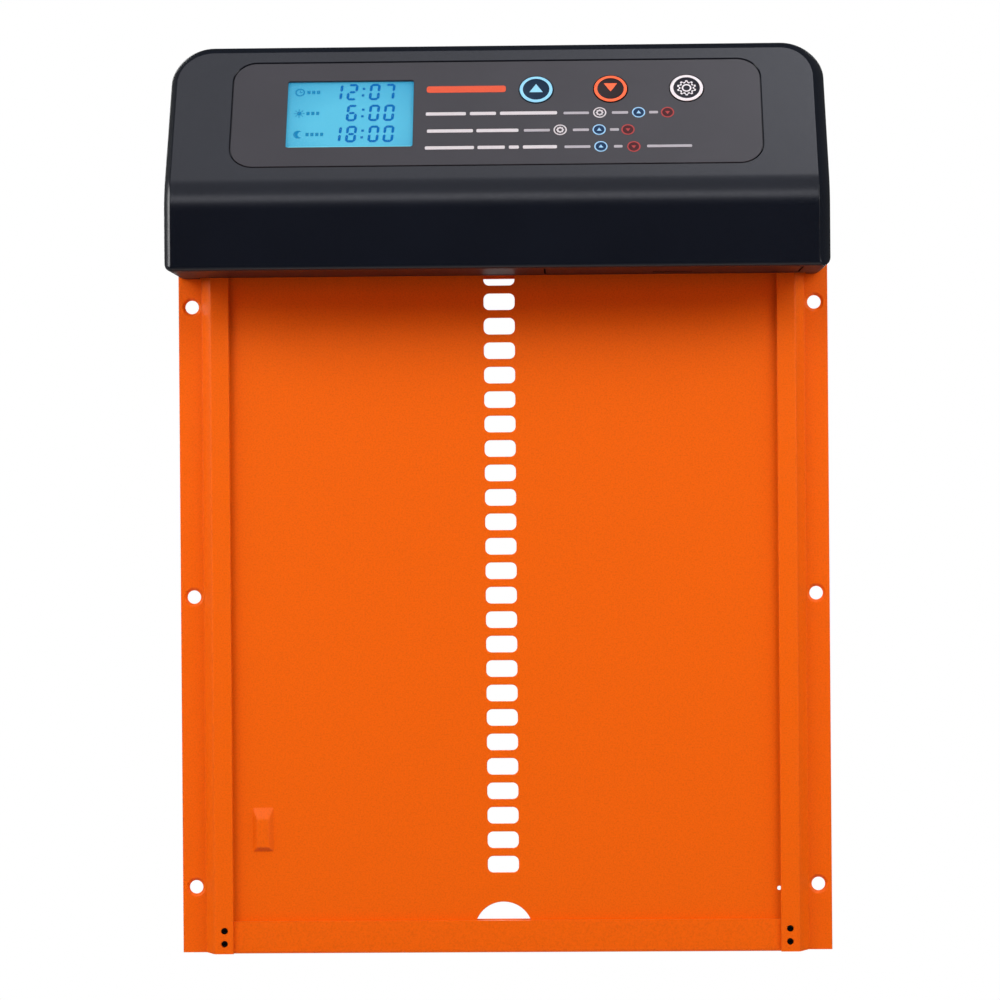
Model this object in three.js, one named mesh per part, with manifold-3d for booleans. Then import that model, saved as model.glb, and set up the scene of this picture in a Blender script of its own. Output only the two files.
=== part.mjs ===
// Automatic coop door: a sheet door that a toothed pinion lifts between two side rails,
// under a plastic housing with the clock display, three buttons, battery and gear motor.
// Millimetres. X to the right seen from outside, Y towards the wall, Z up.
// The origin lies on the back face of the sill, so the wall plane is Y = 0.

import * as THREE from "three";
import { mergeVertices } from "three/addons/utils/BufferGeometryUtils.js";
import Module from "manifold-3d";

const wasm = await Module();
wasm.setup();

// ---------------------------------------------------------------- driving dimensions

const BASE_Z = -6;            // bottom edge of the frame, below the origin on the sill
const GAP = 0.3;              // clearance between separate pieces
const CURVE = 16;             // sides of a plain round piece

const FRAME = {
  halfWidth: 133,             // outer edge of the flanges
  height: 338,
  sheet: 1.4,                 // wall of the extruded rails and the header plate
  flangeInner: 123.3,         // where the flange turns into the slanted wall
  lipOuter: 119.4,
  lipInner: 111.7,
  lipFront: -8,               // front face of the lips
  backLipInner: 113,
  holeX: 127.5,
  holeZ: [26.8, 145.8, 264.8],
  holeRadius: 2.75,
  countersinkRadius: 3.9,
};

const SILL = { height: 13.1, wall: 1.2, halfLength: 118, front: -6.3, screwX: 115.4, screwZ: [4.1, 9.4] };
const SILL_SCREW = { head: 1.15, shank: 0.85, bore: 1.2, socket: 0.5, lipHole: 1.45 };

const HEADER = {
  bottom: 275.3,
  top: 366,
  earX: 118.2,                // the ears reach this far over the rails' back lips
  earRoot: 6,
  earHalfHeight: 24,
  earFront: -2.6,
};
const RIVET = { x: 115.6, z: 312, radius: 1.3, hole: 1.6 };

const DOOR = {
  halfWidth: 118.3,
  bottom: 8.6,
  top: 325.8,
  front: -4.6,
  thickness: 1.5,
  rackX: -1.3,
  slotPitch: 10,
  slotCount: 29,
  firstSlotZ: 35.8,
  slotWidth: 12.7,
  slotHeight: 6.75,
  slotCorner: 2.3,
  notchRadius: 11.9,
  pinhole: { x: 111.3, z: 25.5, radius: 0.9 },
};

const BUMP = { x: 99.5, width: 8.4, proud: 2, lowerZ: [41.6, 59.4], upperZ: [315.2, 323.4] };

const HOUSING = {
  x: -1.3,                    // the housing and the rack sit a little left of the frame's middle
  halfWidth: 132.5,
  bottom: 276.3,
  top: 369.8,
  back: -1.7,
  front: -50,
  wall: 2.5,
  kneeZ: 307.2,               // where front face and slope would meet without their bend
  kneeRadius: 24.7,
  slope: THREE.MathUtils.degToRad(32),
  topCorner: [17.5, 14.5],
  bottomCorner: 4,
  edge: 1.4,
};

const PANEL = { width: 212.5, height: 52.6, corner: 9.3, thickness: 1, centreZ: 340.4, sunk: 0.1 };
const DISPLAY = { x: -58.8, width: 50, height: 32.8, up: 0.2 };
const BUTTON = { x: [16, 46, 76.6], radius: 6.7, up: 11.4 };
const BUTTON_NAMES = ["open", "close", "settings"];

const COVER = { front: -9.6, back: -8.4, bottom: 279.1, top: 363.8 };
const COVER_POSTS = [[-88, 285], [86, 304], [-100, 357.5], [100, 357.5]];
const HOUSING_SCREW = { x: 127.4, z: [291, 329], radius: 1.5, head: 2.7, length: 11, block: 5 };

const PINION = { teeth: 8, slotIndex: 26, width: 10, tipRadius: 14.5, rootRadius: 10.2 };
const GEARS = { module: 0.8, driven: 20, driver: 12, x: -20.5, width: 5 };
const MOTOR = { radius: 12.2, gearboxX: [-50, -29], motorX: [-81, -50.3] };

const CELL = { radius: 7, length: 49.5, nub: 1 };
const TRAY = { x: [13.8, 124], y: [-46.2, -13.4], z: [279.3, 296.4], wall: 1.2 };
const HATCH = { x: [18, 120], y: [-44, -15], thickness: 2, pinY: -43, pinZ: 277.3 };

// ---------------------------------------------------------------- worked-out values

const pinionPitchRadius = (PINION.teeth * DOOR.slotPitch) / (2 * Math.PI);
const doorMiddleY = DOOR.front + DOOR.thickness / 2;
const pinionY = doorMiddleY - pinionPitchRadius;
const pinionZ = DOOR.firstSlotZ + PINION.slotIndex * DOOR.slotPitch;
const gearDistance = (GEARS.module * (GEARS.driven + GEARS.driver)) / 2;
const motorY = pinionY - gearDistance;
const slopeY = (z) => HOUSING.front + (z - HOUSING.kneeZ) * Math.tan(HOUSING.slope);

// ---------------------------------------------------------------- solids

function solid(geometry) {
  const bare = geometry.clone();
  bare.deleteAttribute("normal");
  bare.deleteAttribute("uv");
  const merged = mergeVertices(bare, 1e-4);
  return new wasm.Manifold(new wasm.Mesh({
    numProp: 3,
    vertProperties: new Float32Array(merged.attributes.position.array),
    triVerts: new Uint32Array(merged.index.array),
  }));
}

function geometryOf(body) {
  const mesh = body.getMesh();
  const geometry = new THREE.BufferGeometry();
  geometry.setAttribute("position", new THREE.BufferAttribute(new Float32Array(mesh.vertProperties), 3));
  geometry.setIndex(new THREE.BufferAttribute(new Uint32Array(mesh.triVerts), 1));
  geometry.computeVertexNormals();
  return geometry;
}

function box([x0, x1], [y0, y1], [z0, z1]) {
  const geometry = new THREE.BoxGeometry(x1 - x0, y1 - y0, z1 - z0);
  geometry.translate((x0 + x1) / 2, (y0 + y1) / 2, (z0 + z1) / 2);
  return solid(geometry);
}

const extruded = (shape, depth, curveSegments = 6) =>
  new THREE.ExtrudeGeometry(shape, { depth, bevelEnabled: false, curveSegments });

// A shape drawn in (Y, Z) and drawn out along X.
function prismX(shape, [x0, x1]) {
  const geometry = extruded(shape, x1 - x0);
  const axes = new THREE.Matrix4().makeBasis(
    new THREE.Vector3(0, 1, 0),
    new THREE.Vector3(0, 0, 1),
    new THREE.Vector3(1, 0, 0),
  );
  geometry.applyMatrix4(axes);
  geometry.translate(x0, 0, 0);
  return solid(geometry);
}

// A shape drawn in (X, Z) and drawn out along Y.
function prismY(shape, [y0, y1], curveSegments = 6) {
  const geometry = extruded(shape, y1 - y0, curveSegments);
  geometry.rotateX(Math.PI / 2);
  geometry.translate(0, y1, 0);
  return solid(geometry);
}

// A shape drawn in (X, Y) and drawn out along Z.
function prismZ(shape, [z0, z1]) {
  const geometry = extruded(shape, z1 - z0);
  geometry.translate(0, 0, z0);
  return solid(geometry);
}

function discX(radius, [x0, x1], y, z, sides = CURVE) {
  const geometry = new THREE.CylinderGeometry(radius, radius, x1 - x0, sides);
  geometry.rotateZ(Math.PI / 2);
  geometry.translate((x0 + x1) / 2, y, z);
  return solid(geometry);
}

// A round piece along Y whose radius may change from its front to its back.
function discY(frontRadius, backRadius, [y0, y1], x, z, sides = CURVE) {
  const geometry = new THREE.CylinderGeometry(backRadius, frontRadius, y1 - y0, sides);
  geometry.translate(x, (y0 + y1) / 2, z);
  return solid(geometry);
}

function discZ(radius, [z0, z1], x = 0, y = 0, sides = CURVE) {
  const geometry = new THREE.CylinderGeometry(radius, radius, z1 - z0, sides);
  geometry.rotateX(Math.PI / 2);
  geometry.translate(x, y, (z0 + z1) / 2);
  return solid(geometry);
}

function polygon(points) {
  return new THREE.Shape(points.map(([a, b]) => new THREE.Vector2(a, b)));
}

function roundedRectangle(width, height, corner, x = 0, y = 0) {
  const right = x + width / 2;
  const top = y + height / 2;
  const left = x - width / 2;
  const bottom = y - height / 2;
  const shape = new THREE.Shape();
  shape.moveTo(left + corner, bottom);
  shape.lineTo(right - corner, bottom);
  shape.absarc(right - corner, bottom + corner, corner, -Math.PI / 2, 0);
  shape.lineTo(right, top - corner);
  shape.absarc(right - corner, top - corner, corner, 0, Math.PI / 2);
  shape.lineTo(left + corner, top);
  shape.absarc(left + corner, top - corner, corner, Math.PI / 2, Math.PI);
  shape.lineTo(left, bottom + corner);
  shape.absarc(left + corner, bottom + corner, corner, Math.PI, Math.PI * 1.5);
  return shape;
}

const cutAll = (body, tools) => tools.reduce((left, tool) => left.subtract(tool), body);
const joinAll = (bodies) => bodies.reduce((sum, body) => sum.add(body));
const around = (middle, half) => [middle - half, middle + half];
const mirrored = (x, side) => (side < 0 ? [-x[1], -x[0]] : x);

// ---------------------------------------------------------------- materials and scene

const material = (color, roughness, metalness = 0) =>
  new THREE.MeshStandardMaterial({ color, roughness, metalness });

const MATERIAL = {
  orange: material(0xf25c0f, 0.45),
  black: material(0x26272b, 0.38),
  panel: material(0x3a3a40, 0.5),
  darkPlastic: material(0x303136, 0.6),
  nylon: material(0xe8e4d6, 0.5),
  steel: material(0xb9bcc0, 0.3, 1),
  blackSteel: material(0x1b1b1d, 0.45, 1),
  brass: material(0xc8a24a, 0.35, 1),
  board: material(0x1d6b3c, 0.5),
  glass: material(0x9fe3f2, 0.1),
  display: material(0x5ecbea, 0.35),
  backlight: material(0xe9fbff, 0.4),
  cell: material(0x3f6f4a, 0.4, 0.3),
};

const model = new THREE.Group();

function addMesh(parent, name, body, look) {
  const mesh = new THREE.Mesh(geometryOf(body), look.clone());
  mesh.name = name;
  parent.add(mesh);
  return mesh;
}

// ---------------------------------------------------------------- frame

// One extruded rail: flange, slanted wall, front lip and back lip around the door's edge.
function rail(side) {
  const { sheet, lipFront, flangeInner, lipOuter, lipInner, backLipInner, halfWidth } = FRAME;
  const lean = (flangeInner - lipOuter) / (-sheet - lipFront);
  const section = polygon([
    [halfWidth, 0],
    [backLipInner, 0],
    [backLipInner, -sheet],
    [flangeInner - sheet * 1.5, -sheet],
    [lipOuter - sheet * 0.8 + lean * 0.1, lipFront + sheet],
    [lipInner, lipFront + sheet],
    [lipInner, lipFront],
    [lipOuter, lipFront],
    [flangeInner, -sheet],
    [halfWidth, -sheet],
  ].map(([x, y]) => [side * x, y]));
  const body = prismZ(section, [0, FRAME.height]);
  const wallHoles = FRAME.holeZ.flatMap((z) => [
    discY(FRAME.holeRadius, FRAME.holeRadius, [-3, 1], side * FRAME.holeX, z),
    discY(FRAME.countersinkRadius + 0.1, FRAME.holeRadius, [-sheet - 0.1, -sheet + 1], side * FRAME.holeX, z),
  ]);
  const housingHoles = HOUSING_SCREW.z.flatMap((z) => [
    discY(HOUSING_SCREW.radius + GAP, HOUSING_SCREW.radius + GAP, [-3, 1], side * HOUSING_SCREW.x, z),
    discY(HOUSING_SCREW.radius + GAP, HOUSING_SCREW.head + GAP, [-sheet, 0.01], side * HOUSING_SCREW.x, z),
  ]);
  const { lipHole } = SILL_SCREW;
  const sillHoles = SILL.screwZ.map((z) =>
    discY(lipHole, lipHole, [lipFront - 1, -5.8], side * SILL.screwX, z, 12));
  const rivetHole = discY(RIVET.hole, RIVET.hole, [-3, 1], side * RIVET.x, RIVET.z, 12);
  return cutAll(body, [...wallHoles, ...housingHoles, ...sillHoles, rivetHole]);
}

function sill() {
  const { wall, halfLength, front, height } = SILL;
  const body = joinAll([
    box([-halfLength, halfLength], [front, front + wall], [0, height]),
    box([-halfLength, halfLength], [front, -FRAME.sheet - GAP], [0, wall]),
    box([-FRAME.backLipInner + GAP * 2, FRAME.backLipInner - GAP * 2], [front, 0], [0, wall]),
    box([-FRAME.backLipInner + GAP * 2, FRAME.backLipInner - GAP * 2], [-FRAME.sheet, 0], [0, height]),
  ]);
  const holes = [-1, 1].flatMap((side) =>
    SILL.screwZ.map((z) =>
      discY(SILL_SCREW.bore, SILL_SCREW.bore, [front - 1, front + wall + 0.5], side * SILL.screwX, z, 12)));
  return cutAll(body, holes);
}

// Plate behind the top of the door, with an ear lying on each rail's back lip.
function headerPlate() {
  const { bottom, top, earX, earRoot, earHalfHeight, earFront } = HEADER;
  const half = FRAME.backLipInner - GAP * 2;
  const earZ = [RIVET.z - earHalfHeight, RIVET.z + earHalfHeight];
  const ears = [-1, 1].flatMap((side) => [
    box(mirrored([half - earRoot, half], side), [earFront, -1], earZ),
    box(mirrored([half - earRoot, earX], side), [earFront, -FRAME.sheet - GAP], earZ),
  ]);
  const plate = joinAll([box([-half, half], [-FRAME.sheet, 0], [bottom, top]), ...ears]);
  const holes = [-1, 1].map((side) => discY(RIVET.hole, RIVET.hole, [-4, 1], side * RIVET.x, RIVET.z, 12));
  return cutAll(plate, holes);
}

function sillScrew() {
  const { head, shank, socket } = SILL_SCREW;
  return joinAll([
    discY(head, head, [FRAME.lipFront, -7.1], 0, 0, 12),
    discY(shank, shank, [-7.2, -5], 0, 0, 12),
  ]).subtract(discY(socket, socket, [FRAME.lipFront - 0.1, -7.5], 0, 0, 6));
}

function addFrame() {
  addMesh(model, "left_rail", rail(-1), MATERIAL.orange);
  addMesh(model, "right_rail", rail(1), MATERIAL.orange);
  addMesh(model, "sill_channel", sill(), MATERIAL.orange);
  addMesh(model, "header_plate", headerPlate(), MATERIAL.orange);
  for (const [sideName, side] of [["left", -1], ["right", 1]]) {
    SILL.screwZ.forEach((z, index) => {
      const name = `sill_screw_${sideName}_${["lower", "upper"][index]}`;
      addMesh(model, name, sillScrew(), MATERIAL.blackSteel).position.set(side * SILL.screwX, 0, z);
    });
    const rivet = discY(RIVET.radius, RIVET.radius, [-2.55, -0.1], 0, 0, 12);
    const placed = addMesh(model, `header_rivet_${sideName}`, rivet, MATERIAL.steel);
    placed.position.set(side * RIVET.x, 0, RIVET.z);
  }
}

// ---------------------------------------------------------------- door

// A pressed wedge: a block with sloping sides, its wide face at baseY.
function wedge(x, [z0, z1], width, baseY, proud, inset, shoulder) {
  const half = width / 2;
  const topInset = Math.min(shoulder, (z1 - z0) / 2 - 1.2);
  const corners = [
    [-half, baseY, z0], [half, baseY, z0], [half, baseY, z1], [-half, baseY, z1],
    [-half + inset, baseY - proud, z0 + 1.6],
    [half - inset, baseY - proud, z0 + 1.6],
    [half - inset, baseY - proud, z1 - topInset],
    [-half + inset, baseY - proud, z1 - topInset],
  ];
  const faces = [0, 2, 1, 0, 3, 2, 4, 5, 6, 4, 6, 7, 0, 1, 5, 0, 5, 4, 1, 2, 6, 1, 6, 5,
    2, 3, 7, 2, 7, 6, 3, 0, 4, 3, 4, 7];
  const geometry = new THREE.BufferGeometry();
  geometry.setAttribute("position", new THREE.Float32BufferAttribute(corners.flat(), 3));
  geometry.setIndex(faces);
  geometry.translate(x, 0, 0);
  return solid(geometry);
}

function doorPanel() {
  const y = [DOOR.front, DOOR.front + DOOR.thickness];
  const outline = polygon([
    [-DOOR.halfWidth, DOOR.bottom],
    [DOOR.halfWidth, DOOR.bottom],
    [DOOR.halfWidth, DOOR.top],
    [-DOOR.halfWidth, DOOR.top],
  ]);
  for (let index = 0; index < DOOR.slotCount; index++) {
    const z = DOOR.firstSlotZ + index * DOOR.slotPitch;
    outline.holes.push(roundedRectangle(DOOR.slotWidth, DOOR.slotHeight, DOOR.slotCorner, DOOR.rackX, z));
  }
  const sheet = prismY(outline, y, 2);
  const through = [y[0] - 1, y[1] + 1];
  const notch = discY(DOOR.notchRadius, DOOR.notchRadius, through, DOOR.rackX, DOOR.bottom, 32);
  const { x: pinX, z: pinZ, radius: pinRadius } = DOOR.pinhole;
  const pinhole = discY(pinRadius, pinRadius, through, pinX, pinZ, 10);
  const bumps = [[-BUMP.x, BUMP.lowerZ], [BUMP.x, BUMP.upperZ]];
  const raised = bumps.map(([x, z]) => wedge(x, z, BUMP.width, DOOR.front + 0.1, BUMP.proud + 0.1, 2.1, 4.5));
  const dents = bumps.map(([x, z]) =>
    wedge(x, [z[0] + 1, z[1] - 1], BUMP.width - 2, y[1] + 0.1, BUMP.proud, 1.9, 3.9));
  return cutAll(joinAll([sheet, ...raised]), [notch, pinhole, ...dents]);
}

// ---------------------------------------------------------------- housing

// Side view of the housing, drawn in (Y, Z) and set in by the wall's thickness.
function housingProfile(inset, backY) {
  const { bottom, top, front, kneeZ, kneeRadius, slope, edge } = HOUSING;
  const y = front + inset;
  const z0 = bottom + inset;
  const z1 = top - inset;
  const radius = kneeRadius - inset;
  const tangent = radius * Math.tan(slope / 2);
  const corner = Math.max(edge - inset, 0.4);
  const knee = kneeZ - inset * Math.tan(slope / 2);
  const slopeAt = (z) => y + (z - knee) * Math.tan(slope);
  const shape = new THREE.Shape();
  shape.moveTo(backY, z0);
  shape.lineTo(y + corner, z0);
  shape.absarc(y + corner, z0 + corner, corner, -Math.PI / 2, -Math.PI, true);
  shape.lineTo(y, knee - tangent);
  shape.absarc(y + radius, knee - tangent, radius, Math.PI, Math.PI - slope, true);
  shape.lineTo(slopeAt(z1 - corner), z1 - corner);
  shape.lineTo(slopeAt(z1 - corner) + corner * 0.9, z1 - corner * 0.15);
  shape.lineTo(slopeAt(z1 - corner) + corner * 1.6, z1);
  shape.lineTo(backY, z1);
  return shape;
}

// Front view of the housing with its rounded corners, drawn in (X, Z).
function housingOutline(inset) {
  const { halfWidth, bottom, top, topCorner, bottomCorner } = HOUSING;
  const x = halfWidth - inset;
  const [rx, rz] = topCorner.map((size) => size - inset);
  const low = bottomCorner - inset;
  const z0 = bottom + inset;
  const z1 = top - inset;
  const left = HOUSING.x - x;
  const right = HOUSING.x + x;
  const shape = new THREE.Shape();
  shape.moveTo(left + low, z0);
  shape.lineTo(right - low, z0);
  shape.absarc(right - low, z0 + low, low, -Math.PI / 2, 0);
  shape.lineTo(right, z1 - rz);
  shape.absellipse(right - rx, z1 - rz, rx, rz, 0, Math.PI / 2);
  shape.lineTo(left + rx, z1);
  shape.absellipse(left + rx, z1 - rz, rx, rz, Math.PI / 2, Math.PI);
  shape.lineTo(left, z0 + low);
  shape.absarc(left + low, z0 + low, low, Math.PI, Math.PI * 1.5);
  return shape;
}

function housingBody(inset, backY) {
  const half = HOUSING.halfWidth - inset;
  const across = [HOUSING.x - half, HOUSING.x + half];
  const profile = prismX(housingProfile(inset, backY), across);
  return profile.intersect(prismY(housingOutline(inset), [HOUSING.front - 1, backY + 1]));
}

// Everything on the sloping face is built flat (X across, Y up the slope, Z outwards)
// and this placement tips it onto the slope.
function onSlope(object) {
  object.position.set(HOUSING.x, slopeY(PANEL.centreZ), PANEL.centreZ);
  object.rotation.x = Math.PI / 2 - HOUSING.slope;
  object.updateMatrixWorld(true);
  return object;
}

function toSlope(body) {
  const placement = onSlope(new THREE.Object3D());
  return solid(geometryOf(body).applyMatrix4(placement.matrixWorld));
}

function frontShell() {
  const recess = roundedRectangle(PANEL.width + 2 * GAP, PANEL.height + 2 * GAP, PANEL.corner + GAP);
  const window = roundedRectangle(PANEL.width - 11, PANEL.height - 11, 4);
  const depth = PANEL.sunk + PANEL.thickness + GAP;
  const hull = housingBody(0, HOUSING.back).subtract(housingBody(HOUSING.wall, 5));
  const frontPosts = COVER_POSTS.map(([x, z]) =>
    box(around(x, 3.5), [HOUSING.front + 2, COVER.front - GAP], around(z, 3.5)));
  const wallMiddle = HOUSING.halfWidth - HOUSING.wall / 2;
  const sideBlocks = [-1, 1].flatMap((side) => {
    const x = mirrored([124.3, wallMiddle + side * HOUSING.x], side);
    return HOUSING_SCREW.z.map((z) => box(x, [-15, HOUSING.back], around(z, HOUSING_SCREW.block)));
  });
  const inside = housingBody(1, HOUSING.back);
  const solids = joinAll([hull, ...frontPosts.map((post) => post.intersect(inside)), ...sideBlocks]);
  const cuts = [
    toSlope(prismZ(recess, [-depth, 2])),
    toSlope(prismZ(window, [-6, 1])),
    box([-124, 124], [-8.5, 3], [HOUSING.bottom - 1, HOUSING.bottom + 4]),
    box([-120, 120], [-7.2, 3], [HOUSING.top - 5, HOUSING.top + 1]),
    box([HATCH.x[0] - 0.6, HATCH.x[1] + 0.6], [HATCH.y[0] - 0.6, HATCH.y[1] + 0.6], [270, 280]),
    ...COVER_POSTS.map(([x, z]) => discY(1.5, 1.5, [COVER.front - 5, 0], x, z, 12).intersect(inside)),
    ...[-1, 1].flatMap((side) => HOUSING_SCREW.z.map((z) =>
      discY(HOUSING_SCREW.radius + GAP, HOUSING_SCREW.radius + GAP, [-13, 0], side * HOUSING_SCREW.x, z))),
  ];
  return cutAll(solids, cuts);
}

function backCover() {
  const { front, back, bottom, top } = COVER;
  const outline = prismY(housingOutline(HOUSING.wall + GAP), [front, back]);
  const plate = box([-140, 140], [front, back], [bottom, top]).intersect(outline);
  const through = [front - 1, back + 1];
  const cuts = [
    box([-25, 6], through, around(pinionZ, PINION.tipRadius + 1)),
    box(around(-BUMP.x, 5), through, [288, 312]),
    box(around(BUMP.x, 5), through, [297, 320]),
    ...[-1, 1].flatMap((side) => HOUSING_SCREW.z.map((z) =>
      box(mirrored([124, 140], side), through, around(z, HOUSING_SCREW.block + GAP)))),
    ...COVER_POSTS.map(([x, z]) => discY(1.5, 1.5, through, x, z, 12)),
  ];
  return cutAll(plate, cuts);
}

function coverScrew() {
  return joinAll([
    discY(2.4, 2.2, [COVER.back + GAP, -6.9], 0, 0, 14),
    discY(1.2, 1.2, [COVER.front - 4.5, COVER.back + GAP + 0.2], 0, 0, 12),
  ]);
}

function housingScrew() {
  const { radius, head, length } = HOUSING_SCREW;
  return joinAll([
    discY(radius, head, [-FRAME.sheet + 0.1, -0.05], 0, 0, 14),
    discY(radius - 0.1, radius - 0.1, [-length, -FRAME.sheet + 0.3], 0, 0, 12),
  ]);
}

function addHousing() {
  addMesh(model, "front_shell", frontShell(), MATERIAL.black);
  addMesh(model, "back_cover", backCover(), MATERIAL.darkPlastic);
  COVER_POSTS.forEach(([x, z], index) => {
    addMesh(model, `cover_screw_${index + 1}`, coverScrew(), MATERIAL.steel).position.set(x, 0, z);
  });
  for (const [sideName, side] of [["left", -1], ["right", 1]]) {
    HOUSING_SCREW.z.forEach((z, index) => {
      const name = `housing_screw_${sideName}_${["lower", "upper"][index]}`;
      addMesh(model, name, housingScrew(), MATERIAL.steel).position.set(side * HOUSING_SCREW.x, 0, z);
    });
  }
}

// ---------------------------------------------------------------- controls on the slope

function controlPanel() {
  const shape = roundedRectangle(PANEL.width, PANEL.height, PANEL.corner);
  const top = -PANEL.sunk;
  const plate = prismZ(shape, [top - PANEL.thickness, top]);
  const display = roundedRectangle(DISPLAY.width + 0.8, DISPLAY.height + 0.8, 0.8, DISPLAY.x, DISPLAY.up);
  const holes = BUTTON.x.map((x) => discZ(BUTTON.radius + GAP, [-5, 5], x, BUTTON.up, 28));
  return cutAll(plate, [prismZ(display, [-5, 5]), ...holes]);
}

function displayBlock(margin, z) {
  const shape = roundedRectangle(DISPLAY.width + margin, DISPLAY.height + margin, 0.6);
  return prismZ(shape, z);
}

function buttonCap() {
  return joinAll([
    discZ(BUTTON.radius, [-1.9, 0.25], 0, 0, 28),
    discZ(BUTTON.radius + 1, [-2.3, -1.5], 0, 0, 20),
    discZ(1.8, [-2.8, -2.2], 0, 0, 12),
  ]);
}

function tactSwitch() {
  const body = box([-3, 3], [-3, 3], [-5.8, -3.9]);
  return body.subtract(discZ(2, [-5.6, -3], 0, 0, 12));
}

function mainBoard() {
  const board = box([-98, 98], [-25, 17], [-7.7, -6.1]);
  const chip = box([-6, 6], [-16, -6], [-8.9, -7.6]);
  const batterySocket = box([40, 50], [-20, -14], [-12.5, -7.6]);
  const motorSocket = box([-70, -60], [-20, -14], [-12.5, -7.6]);
  return joinAll([board, chip, batterySocket, motorSocket]);
}

function addControls() {
  const controls = onSlope(new THREE.Group());
  model.add(controls);
  addMesh(controls, "control_panel", controlPanel(), MATERIAL.panel);
  const display = new THREE.Group();
  display.position.set(DISPLAY.x, DISPLAY.up, 0);
  controls.add(display);
  addMesh(display, "display_lens", displayBlock(0, [-1.1, -0.15]), MATERIAL.glass);
  addMesh(display, "display_glass", displayBlock(3, [-3.1, -1.5]), MATERIAL.display);
  addMesh(display, "display_backlight", displayBlock(3, [-5.5, -3.4]), MATERIAL.backlight);
  BUTTON_NAMES.forEach((name, index) => {
    const place = new THREE.Group();
    place.position.set(BUTTON.x[index], BUTTON.up, 0);
    controls.add(place);
    addMesh(place, `${name}_button`, buttonCap(), MATERIAL.black);
    addMesh(place, `${name}_switch`, tactSwitch(), MATERIAL.darkPlastic);
    addMesh(place, `${name}_plunger`, discZ(1.6, [-5, -3.1], 0, 0, 12), MATERIAL.nylon);
  });
  addMesh(controls, "main_board", mainBoard(), MATERIAL.board);
}

// ---------------------------------------------------------------- drive

const involute = (angle) => Math.tan(angle) - angle;

// An involute gear with a bored hub, drawn in (Y, Z) about its own axis and centred on X = 0.
function gear(teeth, boreRadius, turn) {
  const pitchRadius = (GEARS.module * teeth) / 2;
  const baseRadius = pitchRadius * Math.cos(THREE.MathUtils.degToRad(20));
  const tip = pitchRadius + GEARS.module * 0.9;
  const root = pitchRadius - GEARS.module * 1.2;
  const halfTooth = (Math.PI / (2 * teeth)) * 0.86 + involute(THREE.MathUtils.degToRad(20));
  const flank = [Math.max(baseRadius, root), pitchRadius, tip];
  const points = [];
  const addPoint = (radius, angle) => points.push([radius * Math.cos(angle), radius * Math.sin(angle)]);
  for (let tooth = 0; tooth < teeth; tooth++) {
    const middle = turn + (tooth * 2 * Math.PI) / teeth;
    const spread = (radius) => halfTooth - involute(Math.acos(Math.min(baseRadius / radius, 1)));
    addPoint(root, middle - halfTooth);
    flank.forEach((radius) => addPoint(radius, middle - spread(radius)));
    [...flank].reverse().forEach((radius) => addPoint(radius, middle + spread(radius)));
    addPoint(root, middle + halfTooth);
  }
  const clean = points.filter(([a, b], index) => {
    const [c, d] = points[(index + 1) % points.length];
    return Math.hypot(a - c, b - d) > 0.02;
  });
  const half = GEARS.width / 2;
  const body = prismX(polygon(clean), [-half, half]);
  return body.subtract(discX(boreRadius, [-half - 1, half + 1], 0, 0, 16));
}

// The lifting pinion: broad teeth with sloping flanks that reach through the door's slots.
function liftingPinion() {
  const { teeth, width, tipRadius, rootRadius } = PINION;
  const points = [];
  for (let tooth = 0; tooth < teeth; tooth++) {
    const middle = (tooth * 2 * Math.PI) / teeth;
    const stations = [
      [rootRadius, -2.9],
      [pinionPitchRadius, -2.2],
      [tipRadius - 0.4, -1.5],
      [tipRadius, -1],
    ];
    const mirroredStations = [...stations].reverse().map(([radius, across]) => [radius, -across]);
    for (const [radius, across] of [...stations, ...mirroredStations]) {
      points.push([
        radius * Math.cos(middle) - across * Math.sin(middle),
        radius * Math.sin(middle) + across * Math.cos(middle),
      ]);
    }
  }
  const half = width / 2;
  const body = prismX(polygon(points), [-half, half]);
  return body.subtract(discX(2 + GAP, [-half - 1, half + 1], 0, 0, 16));
}

function bearingBlock() {
  const block = box([-1, 1], [-8.5, COVER.front - GAP - pinionY], [-9, 9]);
  return block.subtract(discX(2 + GAP, [-2, 2], 0, 0, 16));
}

function motorBracket() {
  const plate = box([-28.4, -26.9], [motorY - 12.5, COVER.front - GAP], around(pinionZ, 12.5));
  return plate.subtract(discX(3, [-30, -25], motorY, pinionZ, 16));
}

function addDrive() {
  const boxX = MOTOR.gearboxX;
  addMesh(model, "motor_can", discX(MOTOR.radius, MOTOR.motorX, motorY, pinionZ, 28), MATERIAL.steel);
  addMesh(model, "gearbox", discX(MOTOR.radius, boxX, motorY, pinionZ, 28), MATERIAL.brass);
  addMesh(model, "motor_bracket", motorBracket(), MATERIAL.steel);
  const output = new THREE.Group();
  output.position.set(0, motorY, pinionZ);
  model.add(output);
  addMesh(output, "output_shaft", discX(2, [boxX[1] + GAP, GEARS.x + 5], 0, 0, 16), MATERIAL.steel);
  const driver = gear(GEARS.driver, 2 + GAP, Math.PI / GEARS.driver);
  addMesh(output, "drive_gear", driver, MATERIAL.brass).position.x = GEARS.x;
  const lift = new THREE.Group();
  lift.position.set(0, pinionY, pinionZ);
  model.add(lift);
  addMesh(lift, "pinion_shaft", discX(2, [-25.5, 11], 0, 0, 16), MATERIAL.steel);
  addMesh(lift, "pinion_gear", gear(GEARS.driven, 2 + GAP, 0), MATERIAL.nylon).position.x = GEARS.x;
  addMesh(lift, "lifting_pinion", liftingPinion(), MATERIAL.nylon).position.x = DOOR.rackX;
  addMesh(lift, "bearing_block_left", bearingBlock(), MATERIAL.nylon).position.x = -11.5;
  addMesh(lift, "bearing_block_right", bearingBlock(), MATERIAL.nylon).position.x = 8;
}

// ---------------------------------------------------------------- limit switches

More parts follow.
